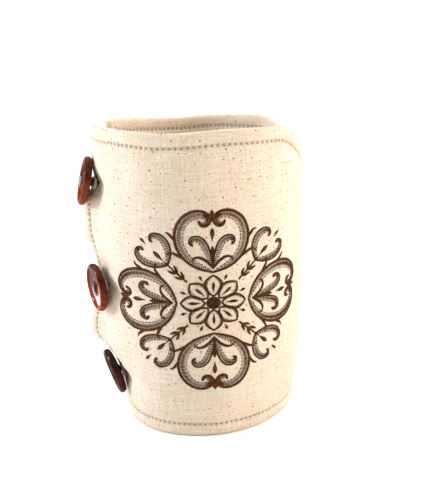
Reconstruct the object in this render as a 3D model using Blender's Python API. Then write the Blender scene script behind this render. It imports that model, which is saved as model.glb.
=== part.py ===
"""Wrap-round cosy for a cafetiere: one padded linen wrap, closed down the handle side.

Metres, +Z up.  The wrap stands on its hem at z = 0, round the axis of the beaker that it
covers.  Azimuth is measured about that axis, in degrees: 0 is the front (-Y), +90 the
spout side (+X), 180 the back and -95 the middle of the opening for the handle.
"""

import math

import bmesh
import bpy
from mathutils import Matrix, Vector

# ---- driving sizes -----------------------------------------------------------------------

HEIGHT = 0.1606              # hem to top edge
CLOTH = 0.0040               # two layers of linen with an interlining between them
HEM_CHAMFER = 0.0008         # softened corner of a folded edge
GAP = 0.0003                 # clearance between pieces that touch

BODY_RADIUS = 0.0574         # outside of the wrap, mean of handle and spout sides
SPOUT_SIDE_EASE = 0.0029     # the wrap stands off more on the spout side than the handle side
BELLY = 0.0009               # fullness at mid height

OPENING_MIDDLE = -95.0       # azimuth of the handle
OPENING_HALF = 18.0          # from there to each free edge at the hem
FREE_EDGE_BACK = OPENING_MIDDLE - OPENING_HALF + 360.0
EDGE_SKEW = 9.0              # the front free edge runs back by this much towards the top,
EDGE_SKEW_FROM = 0.075       # starting at this height

HEM_DRAW = 0.0028            # the hem is a little tighter than the body, up to this height
HEM_DRAW_HEIGHT = 0.034
CORNER_DRAW = 0.0092         # the bottom loop pulls both lower corners in below the beaker
CORNER_DRAW_FULL = 0.021     # full below this height
CORNER_DRAW_NONE = 0.048     # and none above this one
CORNER_DRAW_BACK = 0.85      # share of it on the hidden end
CORNER_NEAR = 22.0           # degrees from the opening's middle where it is full
CORNER_FAR = 66.0            # and where it has died out

# The free edges puff out between the buttons: middle height, half height, swell.
PUFFS = (
    {"z": 0.1105, "half": 0.0290, "swell": 0.0062},
    {"z": 0.0510, "half": 0.0210, "swell": 0.0064},
)
PUFF_WIDTH = 17.0            # degrees inward from a free edge
PUFF_BACK = 0.6              # share of it on the hidden end

# Dips in the top edge: azimuth, half width in degrees, depth.
TOP_DIPS = (
    {"azimuth": -14.0, "half": 34.0, "depth": 0.0015},
    {"azimuth": 91.0, "half": 46.0, "depth": 0.0145},
    {"azimuth": 196.0, "half": 40.0, "depth": 0.0018},
)

# Long soft waves in the cloth: waves round the wrap, turns up the height, phase, size.
WAVES = (
    {"round": 3, "up": 0.5, "phase": 0.6, "size": 0.00045},
    {"round": 5, "up": -0.8, "phase": 2.1, "size": 0.00030},
    {"round": 8, "up": 0.9, "phase": 4.0, "size": 0.00016},
)

BUTTON_RADIUS = 0.0131
BUTTON_THICK = 0.0044
BUTTON_BACK_DOME = 0.0006
BUTTON_RIM_WIDTH = 0.0030
BUTTON_DISH = 0.0011
BUTTON_HOLE_RADIUS = 0.00125
BUTTON_HOLE_SPACING = 0.0050
BUTTON_EDGE = 0.0010         # rounding of its edges
BUTTON_SEGMENTS = 36
HOLE_SIDES = 12

THREAD_RADIUS = 0.00085      # each leg, through a hole, and the bar from hole to hole
BAR_BEND = 0.0008            # how far before a hole the bar starts to turn down
STEM_RADIUS = 0.0013         # wrapped thread between cloth and button
STEM_FOOT_SPARE = 0.0005     # the cloth curves up a little under the stem
COLLAR_RADIUS = 0.0038       # the last turns spread out under the button
COLLAR_THICK = 0.0004
STEM_SIDES = 14

LOOP_RADIUS = 0.00075         # round elastic cord
LOOP_SPARE = 0.0005          # extra room, because the cloth dips where a button is sewn on
LOOP_TURN_SPARE = 0.0006     # and more where the loop turns round the stem in that dip
LOOP_END_GAP = 0.0009        # a loop meets the hidden end at a slant, so its middle stops short
LOOP_POINTS = 36
DROP_ON_CLOTH = 0.02         # share of a loop's drop before it leaves the front free edge
FINE_STEPS = 12              # steps between two points of a loop's route before it is evened

WRAP_ROWS = 46               # of mesh, up the wrap
COLUMN_STEP = 6.0            # degrees between its columns
EDGE_COLUMNS = (0.0, 0.6, 1.6, 3.2, 5.6, 8.0, 10.5, 13.5, 16.5, 20.0)   # closer at a free edge
EDGE_BAND = 24.0             # degrees of the wrap that those take up
EDGE_FLAT = 0.45             # share of the thickness left flat at a free edge

# Buttons down the front free edge: where each is sewn on, which way its face looks, the room
# under it for its loop, and how far the loop drops on its way to the hidden end (the top one
# passes below the handle's upper arm).
BUTTONS = (
    {"name": "top", "azimuth": -73.4, "z": 0.1300, "face_azimuth": -77.0, "face_up": 13.0, "room": 0.0047,
     "drop": 0.0150},
    {"name": "middle", "azimuth": -61.4, "z": 0.0762, "face_azimuth": -65.0, "face_up": -4.0, "room": 0.0042,
     "drop": 0.0},
    {"name": "bottom", "azimuth": -62.0, "z": 0.0264, "face_azimuth": -69.5, "face_up": -16.0, "room": 0.0043,
     "drop": 0.0},
)
PINCH = 0.0026               # each button draws the cloth in, further along its loop than up and down
PINCH_WIDE = 0.0360
PINCH_TALL = 0.0088


# ---- the form of the cloth ---------------------------------------------------------------

def smooth_step(t):
    """0 to 1 with level ends."""
    t = min(max(t, 0.0), 1.0)
    return t * t * (3.0 - 2.0 * t)


def bell(distance, half):
    """1 at distance 0, falling to 0 at half, with level ends."""
    if abs(distance) >= half:
        return 0.0
    return math.cos(0.5 * math.pi * distance / half) ** 2


def wrap_degrees(angle):
    """The same angle between -180 and 180."""
    return (angle + 180.0) % 360.0 - 180.0


def top_height(azimuth):
    """Height of the top edge, with the scoop under the spout."""
    dips = sum(d["depth"] * bell(wrap_degrees(azimuth - d["azimuth"]), d["half"]) for d in TOP_DIPS)
    return HEIGHT - dips


def front_edge(z):
    """Azimuth of the front free edge at a height."""
    return OPENING_MIDDLE + OPENING_HALF - EDGE_SKEW * smooth_step((z - EDGE_SKEW_FROM) / (HEIGHT - EDGE_SKEW_FROM))


def outer_radius(azimuth, z):
    """Distance of the cloth's outer face from the beaker's axis."""
    a = math.radians(azimuth)
    radius = BODY_RADIUS + SPOUT_SIDE_EASE * math.sin(a)
    radius += BELLY * math.sin(math.pi * min(max(z / HEIGHT, 0.0), 1.0))
    radius -= HEM_DRAW * bell(z, HEM_DRAW_HEIGHT)

    from_middle = wrap_degrees(azimuth - OPENING_MIDDLE)
    back = from_middle < 0.0
    reach = smooth_step((CORNER_FAR - abs(from_middle)) / (CORNER_FAR - CORNER_NEAR))
    rise = smooth_step((CORNER_DRAW_NONE - z) / (CORNER_DRAW_NONE - CORNER_DRAW_FULL))
    radius -= CORNER_DRAW * (CORNER_DRAW_BACK if back else 1.0) * reach * rise

    from_edge = -from_middle - OPENING_HALF if back else azimuth - front_edge(z)
    for puff in PUFFS:
        swell = puff["swell"] * bell(z - puff["z"], puff["half"]) * bell(from_edge, PUFF_WIDTH)
        radius += swell * (PUFF_BACK if back else 1.0)
    for row in BUTTONS:
        round_off = math.radians(wrap_degrees(azimuth - row["azimuth"])) * BODY_RADIUS
        radius -= PINCH * bell(math.hypot(round_off / PINCH_WIDE, (z - row["z"]) / PINCH_TALL), 1.0)

    for wave in WAVES:
        turn = wave["round"] * a + 2.0 * math.pi * wave["up"] * z / HEIGHT + wave["phase"]
        radius += wave["size"] * math.sin(turn)
    return radius


def at(azimuth, radius, z):
    """The point at an azimuth, a distance from the beaker's axis and a height."""
    a = math.radians(azimuth)
    return Vector((radius * math.sin(a), -radius * math.cos(a), z))


def outer_point(azimuth, z):
    return at(azimuth, outer_radius(azimuth, z), z)


def outer_normal(azimuth, z):
    """Outward normal of the cloth's outer face, from its slopes round and up."""
    step_round = 0.5
    step_up = 0.0008
    along = outer_point(azimuth + step_round, z) - outer_point(azimuth - step_round, z)
    up = outer_point(azimuth, z + step_up) - outer_point(azimuth, z - step_up)
    return along.cross(up).normalized()


# ---- small tools -------------------------------------------------------------------------

def material(name, color, roughness, metallic=0.0):
    mat = bpy.data.materials.new(name)
    mat.use_nodes = True
    shader = mat.node_tree.nodes["Principled BSDF"]
    shader.inputs["Base Color"].default_value = (*color, 1.0)
    shader.inputs["Roughness"].default_value = roughness
    shader.inputs["Metallic"].default_value = metallic
    return mat


def new_object(name, data, parent, mat=None):
    obj = bpy.data.objects.new(name, data)
    bpy.context.collection.objects.link(obj)
    obj.parent = parent
    if mat is not None:
        obj.data.materials.append(mat)
    return obj


def mesh_from_bmesh(name, bm):
    bmesh.ops.recalc_face_normals(bm, faces=bm.faces)
    mesh = bpy.data.meshes.new(name)
    bm.to_mesh(mesh)
    bm.free()
    return mesh


def ring(bm, frame, radius, count):
    """A circle of vertices about a frame's Z."""
    return [bm.verts.new(frame @ Vector((radius * math.cos(t), radius * math.sin(t), 0.0)))
            for t in (2.0 * math.pi * i / count for i in range(count))]


def bridge(bm, low, high):
    """Faces between two rings of equal count."""
    for i in range(len(low)):
        j = (i + 1) % len(low)
        bm.faces.new((low[i], low[j], high[j], high[i]))


def fill_between(bm, rings):
    """A flat face inside the first ring, with each other ring as a hole in it."""
    edges = []
    for loop in rings:
        for first, second in zip(loop, loop[1:] + loop[:1]):
            edges.append(bm.edges.get((first, second)) or bm.edges.new((first, second)))
    bmesh.ops.triangle_fill(bm, use_beauty=True, use_dissolve=False, edges=edges)


def level(z, y=0.0):
    """A frame at a height, and moved along Y, that isn't turned."""
    return Matrix.Translation((0.0, y, z))


# ---- the wrap ----------------------------------------------------------------------------

def wrap_columns():
    """Places of the mesh columns across the wrap, in degrees from the front free edge at the
    hem, close together at the two free edges."""
    span = FREE_EDGE_BACK - front_edge(0.0)
    plain = span - 2.0 * EDGE_BAND
    count = round(plain / COLUMN_STEP)
    middle = [EDGE_BAND + plain * i / count for i in range(count + 1)]
    return list(EDGE_COLUMNS) + middle + [span - d for d in reversed(EDGE_COLUMNS)]


def column_azimuth(column, z):
    """Azimuth of a column at a height: the columns lean with the front free edge."""
    share = column / (FREE_EDGE_BACK - front_edge(0.0))
    return front_edge(z) + share * (FREE_EDGE_BACK - front_edge(z))


def thickness_share(column):
    """The free edges are folded, so the cloth rounds off there over its own thickness."""
    to_edge = min(column, FREE_EDGE_BACK - front_edge(0.0) - column)
    distance = math.radians(to_edge) * BODY_RADIUS
    t = min(distance / (CLOTH / 2.0), 1.0)
    return EDGE_FLAT + (1.0 - EDGE_FLAT) * math.sqrt(1.0 - (1.0 - t) ** 2)


def wrap_section(column):
    """Closed section of the cloth along one column: up the outside, down the inside."""
    top = top_height(column_azimuth(column, HEIGHT))
    low = HEM_CHAMFER
    high = top - HEM_CHAMFER
    heights = [low + (high - low) * i / (WRAP_ROWS - 1) for i in range(WRAP_ROWS)]
    half = CLOTH / 2.0 * thickness_share(column)
    bevel = min(HEM_CHAMFER, half * 0.6)

    def place(z, offset):
        azimuth = column_azimuth(column, z)
        return at(azimuth, outer_radius(azimuth, z) - CLOTH / 2.0 + offset, z)

    section = [place(0.0, half - bevel)]
    section += [place(z, half) for z in heights]
    section += [place(top, half - bevel), place(top, bevel - half)]
    section += [place(z, -half) for z in reversed(heights)]
    section += [place(0.0, bevel - half)]
    return section


def build_wrap(parent):
    bm = bmesh.new()
    sections = [[bm.verts.new(p) for p in wrap_section(column)] for column in wrap_columns()]
    count = len(sections[0])
    for left, right in zip(sections, sections[1:]):
        for i in range(count):
            j = (i + 1) % count
            bm.faces.new((left[i], right[i], right[j], left[j]))
    for end in (sections[0], sections[-1]):
        for i in range(count // 2 - 1):
            bm.faces.new((end[i], end[i + 1], end[count - 2 - i], end[count - 1 - i]))
    mesh = mesh_from_bmesh("wrap", bm)
    mesh.shade_smooth()
    mesh.set_sharp_from_angle(angle=math.radians(40.0))
    new_object("wrap", mesh, parent, material("linen", (0.80, 0.74, 0.63), 0.9))


# ---- buttons, their thread and loops -----------------------------------------------------

def button_frame(row):
    """Where a button hangs on its thread: origin on the cloth, Z through its face, Y up it."""
    face = math.radians(row["face_azimuth"])
    up = math.radians(row["face_up"])
    out = Vector((math.sin(face) * math.cos(up), -math.cos(face) * math.cos(up), math.sin(up)))
    across = Vector((0.0, 0.0, 1.0)).cross(out).normalized()
    frame = Matrix((across, out.cross(across), out)).transposed().to_4x4()
    frame.translation = outer_point(row["azimuth"], row["z"])
    return frame


def button_outline():
    """Rings of a turned button as (radius, height), from the flat of its back, round its side
    and over its raised rim to the flat of its dished face."""
    r = BUTTON_RADIUS
    t = BUTTON_THICK
    rim = BUTTON_RIM_WIDTH
    edge = BUTTON_EDGE
    back = [(r * 0.55, 0.0), (r - 2.0 * edge, BUTTON_BACK_DOME)]
    side = [(r - 0.4 * edge, BUTTON_BACK_DOME + 0.7 * edge), (r, t * 0.5), (r - 0.4 * edge, t - 0.9 * edge)]
    crest = [(r - 1.3 * edge, t - 0.15 * edge), (r - 0.55 * rim, t), (r - rim, t - 0.35 * edge)]
    dish = [(r - rim - 0.4 * edge, t - 0.75 * edge), (r * 0.42, t - BUTTON_DISH)]
    return back + side + crest + dish


def build_button(row, parent):
    name = "button_" + row["name"]
    bm = bmesh.new()
    rings = [ring(bm, level(z), radius, BUTTON_SEGMENTS) for radius, z in button_outline()]
    for low, high in zip(rings, rings[1:]):
        bridge(bm, low, high)
    half = BUTTON_HOLE_SPACING / 2.0
    holes = []
    for z in (0.0, BUTTON_THICK - BUTTON_DISH):
        holes.append([ring(bm, level(z, y), BUTTON_HOLE_RADIUS, HOLE_SIDES) for y in (-half, half)])
    for low, high in zip(*holes):
        bridge(bm, low, high)
    fill_between(bm, [rings[0]] + holes[0])
    fill_between(bm, [rings[-1]] + holes[1])
    mesh = mesh_from_bmesh(name, bm)
    mesh.shade_smooth()
    mesh.set_sharp_from_angle(angle=math.radians(50.0))
    button = new_object(name, mesh, parent, material(name + "_wood", (0.30, 0.07, 0.03), 0.2))
    button.matrix_local = button_frame(row) @ level(row["room"])


def build_thread(row, parent):
    """Thread that sews a button on: a wrapped stem up from the cloth, a collar of turns under
    the button, a leg through each hole and a bar over the face."""
    name = "thread_" + row["name"]
    frame = button_frame(row)
    lean = frame.col[2].xyz.angle(outer_normal(row["azimuth"], row["z"]))
    foot = GAP + STEM_RADIUS * math.tan(lean) + STEM_FOOT_SPARE
    collar = row["room"] - GAP
    bar = row["room"] + BUTTON_THICK - BUTTON_DISH + GAP + THREAD_RADIUS
    half = BUTTON_HOLE_SPACING / 2.0
    stem = ((STEM_RADIUS, foot), (STEM_RADIUS, collar - COLLAR_THICK),
            (COLLAR_RADIUS, collar - COLLAR_THICK), (COLLAR_RADIUS, collar))

    bm = bmesh.new()
    rings = [ring(bm, level(z), radius, STEM_SIDES) for radius, z in stem]
    for low, high in zip(rings, rings[1:]):
        bridge(bm, low, high)
    bm.faces.new(rings[0])

    # The legs and the bar are one length of thread, bent over at each hole.
    route = [(-half, collar, 0.0), (-half, bar - BAR_BEND, 0.0), (BAR_BEND - half, bar, 90.0),
             (half - BAR_BEND, bar, 90.0), (half, bar - BAR_BEND, 180.0), (half, collar, 180.0)]
    turns = [ring(bm, level(z, y) @ Matrix.Rotation(math.radians(-tip), 4, "X"), THREAD_RADIUS, HOLE_SIDES)
             for y, z, tip in route]
    for low, high in zip(turns, turns[1:]):
        bridge(bm, low, high)
    fill_between(bm, [rings[-1], turns[0], turns[-1]])
    mesh = mesh_from_bmesh(name, bm)
    mesh.shade_smooth()
    mesh.set_sharp_from_angle(angle=math.radians(50.0))
    thread = new_object(name, mesh, parent, material(name + "_linen", (0.09, 0.05, 0.03), 0.8))
    thread.matrix_local = frame


def loop_route(row):
    """Middle line of a loop: from the hidden end of the wrap across the opening, over the front
    free edge, round the button's thread and back the same way."""
    lift = LOOP_RADIUS + GAP + LOOP_SPARE
    spread = STEM_RADIUS + LOOP_RADIUS + GAP + LOOP_SPARE
    near = LOOP_RADIUS + LOOP_SPARE
    edge = front_edge(row["z"])

    def end(side):
        z = row["z"] - row["drop"] + side * near
        beyond = FREE_EDGE_BACK + math.degrees(LOOP_END_GAP / BODY_RADIUS)
        return at(beyond, outer_radius(FREE_EDGE_BACK, z) - CLOTH / 2.0, z)

    def over_cloth(share, side):
        azimuth = edge + (row["azimuth"] - edge) * share
        z = row["z"] - row["drop"] * DROP_ON_CLOTH * (1.0 - share) + side * (near + (spread - near) * share)
        return outer_point(azimuth, z) + lift * outer_normal(azimuth, z)

    def half_loop(side):
        on_cloth = [over_cloth(share, side) for share in (0.0, 0.3, 0.6)]
        return [end(side), end(side).lerp(on_cloth[0], 0.5)] + on_cloth

    out = outer_normal(row["azimuth"], row["z"])
    across = Vector((0.0, 0.0, 1.0)).cross(out).normalized()
    middle = button_frame(row) @ Vector((0.0, 0.0, lift + LOOP_TURN_SPARE))
    turn = [middle + spread * (across * math.sin(t) + out.cross(across) * math.cos(t))
            for t in (math.radians(d) for d in range(0, 181, 30))]
    return half_loop(1.0) + turn + list(reversed(half_loop(-1.0)))


def smooth_points(points, count):
    """Evenly shared points on a smooth curve through the given ones."""
    padded = [2.0 * points[0] - points[1]] + points + [2.0 * points[-1] - points[-2]]
    fine = []
    for before, start, finish, after in zip(padded, padded[1:], padded[2:], padded[3:]):
        for i in range(FINE_STEPS):
            t = i / FINE_STEPS
            fine.append(0.5 * (2.0 * start + (finish - before) * t
                               + (2.0 * before - 5.0 * start + 4.0 * finish - after) * t ** 2
                               + (3.0 * start - before - 3.0 * finish + after) * t ** 3))
    fine.append(points[-1])
    lengths = [0.0]
    for a, b in zip(fine, fine[1:]):
        lengths.append(lengths[-1] + (b - a).length)
    even = []
    for i in range(count):
        target = lengths[-1] * i / (count - 1)
        k = max(j for j in range(len(fine) - 1) if lengths[j] <= target + 1e-9)
        even.append(fine[k].lerp(fine[k + 1], (target - lengths[k]) / (lengths[k + 1] - lengths[k])))
    return even


def build_loop(row, parent):
    name = "loop_" + row["name"]
    curve = bpy.data.curves.new(name, "CURVE")
    curve.dimensions = "3D"
    curve.bevel_depth = LOOP_RADIUS
    curve.bevel_resolution = 2
    curve.use_fill_caps = True
    points = smooth_points(loop_route(row), LOOP_POINTS)
    spline = curve.splines.new("POLY")
    spline.points.add(len(points) - 1)
    for slot, point in zip(spline.points, points):
        slot.co = (*point, 1.0)
    new_object(name, curve, parent, material(name + "_elastic", (0.62, 0.54, 0.42), 0.8))


def main():
    for obj in list(bpy.data.objects):
        bpy.data.objects.remove(obj, do_unlink=True)
    cosy = bpy.data.objects.new("cosy", None)
    bpy.context.collection.objects.link(cosy)
    build_wrap(cosy)
    for row in BUTTONS:
        build_button(row, cosy)
        build_thread(row, cosy)
        build_loop(row, cosy)


main()
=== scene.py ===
"""Looks of the cafetiere cosy, laid out as an add-on and run as a script.

The padded linen wrap, its topstitching and embroidery, the wooden buttons with their thread, and
the elastic loops are each made by an operator, round the fixed frame that is loaded first.
Metres, +Z up.  Azimuth is in degrees about the beaker's axis: 0 is the front (-Y), +90 the
spout side (+X), 180 the back and -95 the middle of the opening for the handle.
"""

import math

import bmesh
import bpy
import numpy as np
from bpy.props import FloatProperty, FloatVectorProperty, IntProperty, PointerProperty
from mathutils import Matrix, Vector


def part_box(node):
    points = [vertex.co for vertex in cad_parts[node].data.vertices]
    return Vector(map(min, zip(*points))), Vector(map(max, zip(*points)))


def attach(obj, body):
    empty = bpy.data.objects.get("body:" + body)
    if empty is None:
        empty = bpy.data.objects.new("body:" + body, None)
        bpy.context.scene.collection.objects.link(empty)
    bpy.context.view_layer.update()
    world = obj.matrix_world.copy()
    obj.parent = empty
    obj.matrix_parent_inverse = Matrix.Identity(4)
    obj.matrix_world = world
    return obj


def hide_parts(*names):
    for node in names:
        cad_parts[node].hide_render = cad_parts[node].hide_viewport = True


bl_info = {
    "name": "Cafetiere cosy",
    "version": (1, 0, 0),
    "blender": (4, 5, 0),
    "location": "View3D > Sidebar > Cosy",
    "description": "Makes the cloth, stitching, buttons and loops of a padded linen cafetiere cosy",
    "category": "Add Mesh",
}

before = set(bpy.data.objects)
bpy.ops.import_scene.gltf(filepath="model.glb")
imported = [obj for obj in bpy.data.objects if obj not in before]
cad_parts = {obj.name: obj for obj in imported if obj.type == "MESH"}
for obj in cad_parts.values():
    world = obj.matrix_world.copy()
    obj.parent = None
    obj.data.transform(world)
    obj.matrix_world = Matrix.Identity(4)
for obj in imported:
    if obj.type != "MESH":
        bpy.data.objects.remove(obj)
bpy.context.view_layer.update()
BODY = "root"

# ---- the wrap's form, as it is cut and buttoned -----------------------------------------------

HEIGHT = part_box("wrap")[1].z
CLOTH = 0.0040               # two layers of linen with an interlining between them
BODY_RADIUS = 0.0574         # outside of the wrap, mean of handle and spout sides
SPOUT_SIDE_EASE = 0.0029     # it stands off more on the spout side than on the handle side
BELLY = 0.0009               # fullness at mid height

OPENING_MIDDLE = -95.0       # azimuth of the handle
OPENING_HALF = 18.0          # from there to each free edge at the hem
FREE_EDGE_BACK = OPENING_MIDDLE - OPENING_HALF + 360.0
EDGE_SKEW = 9.0              # the front free edge leans over to the handle by this at the top,
EDGE_SKEW_FROM = 0.075       # starting at this height

HEM_DRAW = 0.0028            # the hem is a little tighter than the body, up to this height
HEM_DRAW_HEIGHT = 0.034
CORNER_DRAW = 0.0092         # the bottom loop pulls both lower corners in below the beaker:
CORNER_DRAW_FULL = 0.021     # fully below this height
CORNER_DRAW_NONE = 0.048     # and not at all above this one
CORNER_DRAW_BACK = 0.85      # share of it on the hidden end
CORNER_NEAR = 22.0           # degrees from the opening's middle where it is full
CORNER_FAR = 66.0            # and where it has died out

# The free edges puff out between the buttons: middle height, half height, swell.
PUFFS = (
    {"z": 0.1105, "half": 0.0290, "swell": 0.0062},
    {"z": 0.0510, "half": 0.0210, "swell": 0.0064},
)
PUFF_WIDTH = 17.0            # degrees inward from a free edge
PUFF_BACK = 0.6              # share of it on the hidden end

# Dips in the top edge: azimuth, half width in degrees, depth.
TOP_DIPS = (
    {"azimuth": -14.0, "half": 34.0, "depth": 0.0015},
    {"azimuth": 91.0, "half": 46.0, "depth": 0.0145},
    {"azimuth": 196.0, "half": 40.0, "depth": 0.0018},
)

# Long soft waves in the cloth: waves round the wrap, turns up the height, phase, size.
WAVES = (
    {"round": 3, "up": 0.5, "phase": 0.6, "size": 0.00045},
    {"round": 5, "up": -0.8, "phase": 2.1, "size": 0.00030},
    {"round": 8, "up": 0.9, "phase": 4.0, "size": 0.00016},
)

# Buttons down the front free edge: where each is sewn on, which way its face looks, the room under
# it for its loop, how far the loop drops on its way to the hidden end, how its grain is turned and
# how much painted shade darkens its wood.
BUTTONS = (
    {"name": "top", "azimuth": -73.4, "z": 0.1300, "face_azimuth": -77.0, "face_up": 13.0, "room": 0.0047,
     "drop": 0.0150, "grain": 0.3, "dark": 0.10},
    {"name": "middle", "azimuth": -61.4, "z": 0.0762, "face_azimuth": -65.0, "face_up": -4.0, "room": 0.0042,
     "drop": 0.0, "grain": 1.9, "dark": 0.0},
    {"name": "bottom", "azimuth": -62.0, "z": 0.0264, "face_azimuth": -69.5, "face_up": -16.0, "room": 0.0043,
     "drop": 0.0, "grain": 4.4, "dark": 0.80},
)
PINCH = 0.0026               # each button draws the cloth in, further along its loop than up and down
PINCH_WIDE = 0.0360
PINCH_TALL = 0.0088

# ---- finer form, on the wrap that shows -------------------------------------------------------

EDGE_ROUND = 0.0022          # the folded edge rounds off over this
EDGE_SQUARE = 2.3            # how squarely it does: 2 is a half circle
CORNER_ROUND = 0.0036        # the four corners, turned right side out, stay a little round
GROOVE = 0.26                # share of the thickness that the topstitching pulls in
GROOVE_WIDTH = 0.0011
HOLLOW = 0.16                # and more softly to both sides of it
HOLLOW_WIDTH = 0.0036
BORDER_PUFF = 0.16           # the border between stitching and edge stands this share fuller
COLUMN_STEP = 0.00118        # grid spacing of the cloth away from its edges
ROW_STEP = 0.0016
BORDER_STEPS = (0.0, 0.00017, 0.0006, 0.0013, 0.0022, 0.0030, 0.0038, 0.0046, 0.0053, 0.0059, 0.0064,
                0.0068, 0.0072, 0.0077, 0.0083, 0.0090, 0.0099)
ROWS_LEVEL_BELOW = 0.060     # above this height the rows follow the top edge
UNEVEN = ((0.00042, 0.030, 3), (0.00011, 0.0085, 5))    # height, wavelength and seed of each ripple
INSIDE_UNEVEN = 0.5          # share of them on the inner face
INSIDE_TURN = 40.0           # and how far round they are shifted there
PULL = 0.00030               # height of the small folds that run out from each button,
PULL_MIDDLE = 0.011          # highest this far from it
PULL_REACH = 0.010


def smooth_step(t):
    """0 to 1 with level ends."""
    t = np.clip(t, 0.0, 1.0)
    return t * t * (3.0 - 2.0 * t)


def bell(distance, half):
    """1 at distance 0, falling to 0 at half, with level ends."""
    return np.cos(0.5 * np.pi * np.clip(np.abs(distance) / half, 0.0, 1.0)) ** 2


def wrap_degrees(angle):
    """The same angle between -180 and 180."""
    return (angle + 180.0) % 360.0 - 180.0


def top_height(azimuth):
    """Height of the top edge, with the scoop under the spout."""
    dips = sum(d["depth"] * bell(wrap_degrees(azimuth - d["azimuth"]), d["half"]) for d in TOP_DIPS)
    return HEIGHT - dips


def top_slope(azimuth):
    """Cosine of the top edge's slope, which turns a height below it into a distance from it."""
    step = 0.5
    rise = top_height(azimuth + step) - top_height(azimuth - step)
    return np.cos(np.arctan2(rise, 2.0 * math.radians(step) * BODY_RADIUS))


def front_edge(z):
    """Azimuth of the front free edge at a height."""
    risen = (z - EDGE_SKEW_FROM) / (HEIGHT - EDGE_SKEW_FROM)
    return OPENING_MIDDLE + OPENING_HALF - EDGE_SKEW * smooth_step(risen)


def outer_radius(azimuth, z):
    """Distance of the buttoned wrap's outer face from the beaker's axis."""
    a = np.radians(azimuth)
    radius = BODY_RADIUS + SPOUT_SIDE_EASE * np.sin(a)
    radius = radius + BELLY * np.sin(np.pi * np.clip(z / HEIGHT, 0.0, 1.0))
    radius = radius - HEM_DRAW * bell(z, HEM_DRAW_HEIGHT)

    from_middle = wrap_degrees(azimuth - OPENING_MIDDLE)
    back = from_middle < 0.0
    reach = smooth_step((CORNER_FAR - np.abs(from_middle)) / (CORNER_FAR - CORNER_NEAR))
    rise = smooth_step((CORNER_DRAW_NONE - z) / (CORNER_DRAW_NONE - CORNER_DRAW_FULL))
    radius = radius - CORNER_DRAW * np.where(back, CORNER_DRAW_BACK, 1.0) * reach * rise

    from_edge = np.where(back, -from_middle - OPENING_HALF, azimuth - front_edge(z))
    for puff in PUFFS:
        swell = puff["swell"] * bell(z - puff["z"], puff["half"]) * bell(from_edge, PUFF_WIDTH)
        radius = radius + swell * np.where(back, PUFF_BACK, 1.0)
    for row in BUTTONS:
        round_off = np.radians(wrap_degrees(azimuth - row["azimuth"])) * BODY_RADIUS
        radius = radius - PINCH * bell(np.hypot(round_off / PINCH_WIDE, (z - row["z"]) / PINCH_TALL), 1.0)

    for wave in WAVES:
        turn = wave["round"] * a + 2.0 * math.pi * wave["up"] * z / HEIGHT + wave["phase"]
        radius = radius + wave["size"] * np.sin(turn)
    return radius


def ripple(across, up, length, seed, count=9):
    """Smooth uneven waves about 0, near 1 at their highest, of about one wavelength."""
    draw = np.random.default_rng(seed)
    total = 0.0
    for _ in range(count):
        heading = draw.uniform(0.0, math.pi)
        wave = length * draw.uniform(0.7, 1.6)
        phase = draw.uniform(0.0, 2.0 * math.pi)
        way = across * math.cos(heading) + up * math.sin(heading)
        total = total + np.sin(2.0 * math.pi * way / wave + phase)
    return total / math.sqrt(2.0 * count)


def edge_distances(azimuth, z):
    """Distances from the top edge, the hem, the front free edge and the hidden end."""
    top = (top_height(azimuth) - z) * top_slope(azimuth)
    front = np.radians(azimuth - front_edge(z)) * BODY_RADIUS
    back = np.radians(FREE_EDGE_BACK - azimuth) * BODY_RADIUS
    return top, z + 0.0 * azimuth, front, back


def half_thickness(azimuth, z, inset):
    """Half the padding's thickness: round at the folded edges, pulled in along the topstitching."""
    sides = edge_distances(azimuth, z)
    nearest = np.minimum.reduce(sides)
    inward = 1.0 - np.clip(nearest / EDGE_ROUND, 0.0, 1.0)
    rounded = (1.0 - inward ** EDGE_SQUARE) ** (1.0 / EDGE_SQUARE)
    groove = np.exp(-((nearest - inset) / GROOVE_WIDTH) ** 2)
    hollow = np.exp(-np.abs(nearest - inset) / HOLLOW_WIDTH)
    border = bell(nearest - 0.5 * inset, 0.5 * inset)
    return 0.5 * CLOTH * rounded * (1.0 - GROOVE * groove - HOLLOW * hollow + BORDER_PUFF * border)


def relief(azimuth, z):
    """How the linen's face stands uneven: soft hollows, pulls round the buttons, fine ripples."""
    across = np.radians(azimuth) * BODY_RADIUS
    height = sum(size * ripple(across, z, wave, seed) for size, wave, seed in UNEVEN)
    for row in BUTTONS:
        round_off = across - math.radians(row["azimuth"]) * BODY_RADIUS
        far = np.hypot(round_off, z - row["z"])
        turn = np.arctan2(z - row["z"], round_off)
        folds = np.cos(7.0 * turn + row["grain"]) + 0.5 * np.cos(11.0 * turn + 2.0 * row["grain"])
        height = height + PULL * folds * bell(far - PULL_MIDDLE, PULL_REACH)
    return height * smooth_step(np.minimum.reduce(edge_distances(azimuth, z)) / EDGE_ROUND)


def face_radius(azimuth, z, inset, outside=True):
    """Distance from the axis of the linen's outer or inner face."""
    middle = outer_radius(azimuth, z) - 0.5 * CLOTH
    half = half_thickness(azimuth, z, inset)
    if outside:
        return middle + half + relief(azimuth, z)
    return middle - half + INSIDE_UNEVEN * relief(azimuth + INSIDE_TURN, z)


def around(azimuth, radius, z):
    """Points at azimuths, distances from the axis and heights, as an array (..., 3)."""
    a = np.radians(azimuth)
    return np.stack([radius * np.sin(a), -radius * np.cos(a), z + 0.0 * a], axis=-1)


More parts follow.
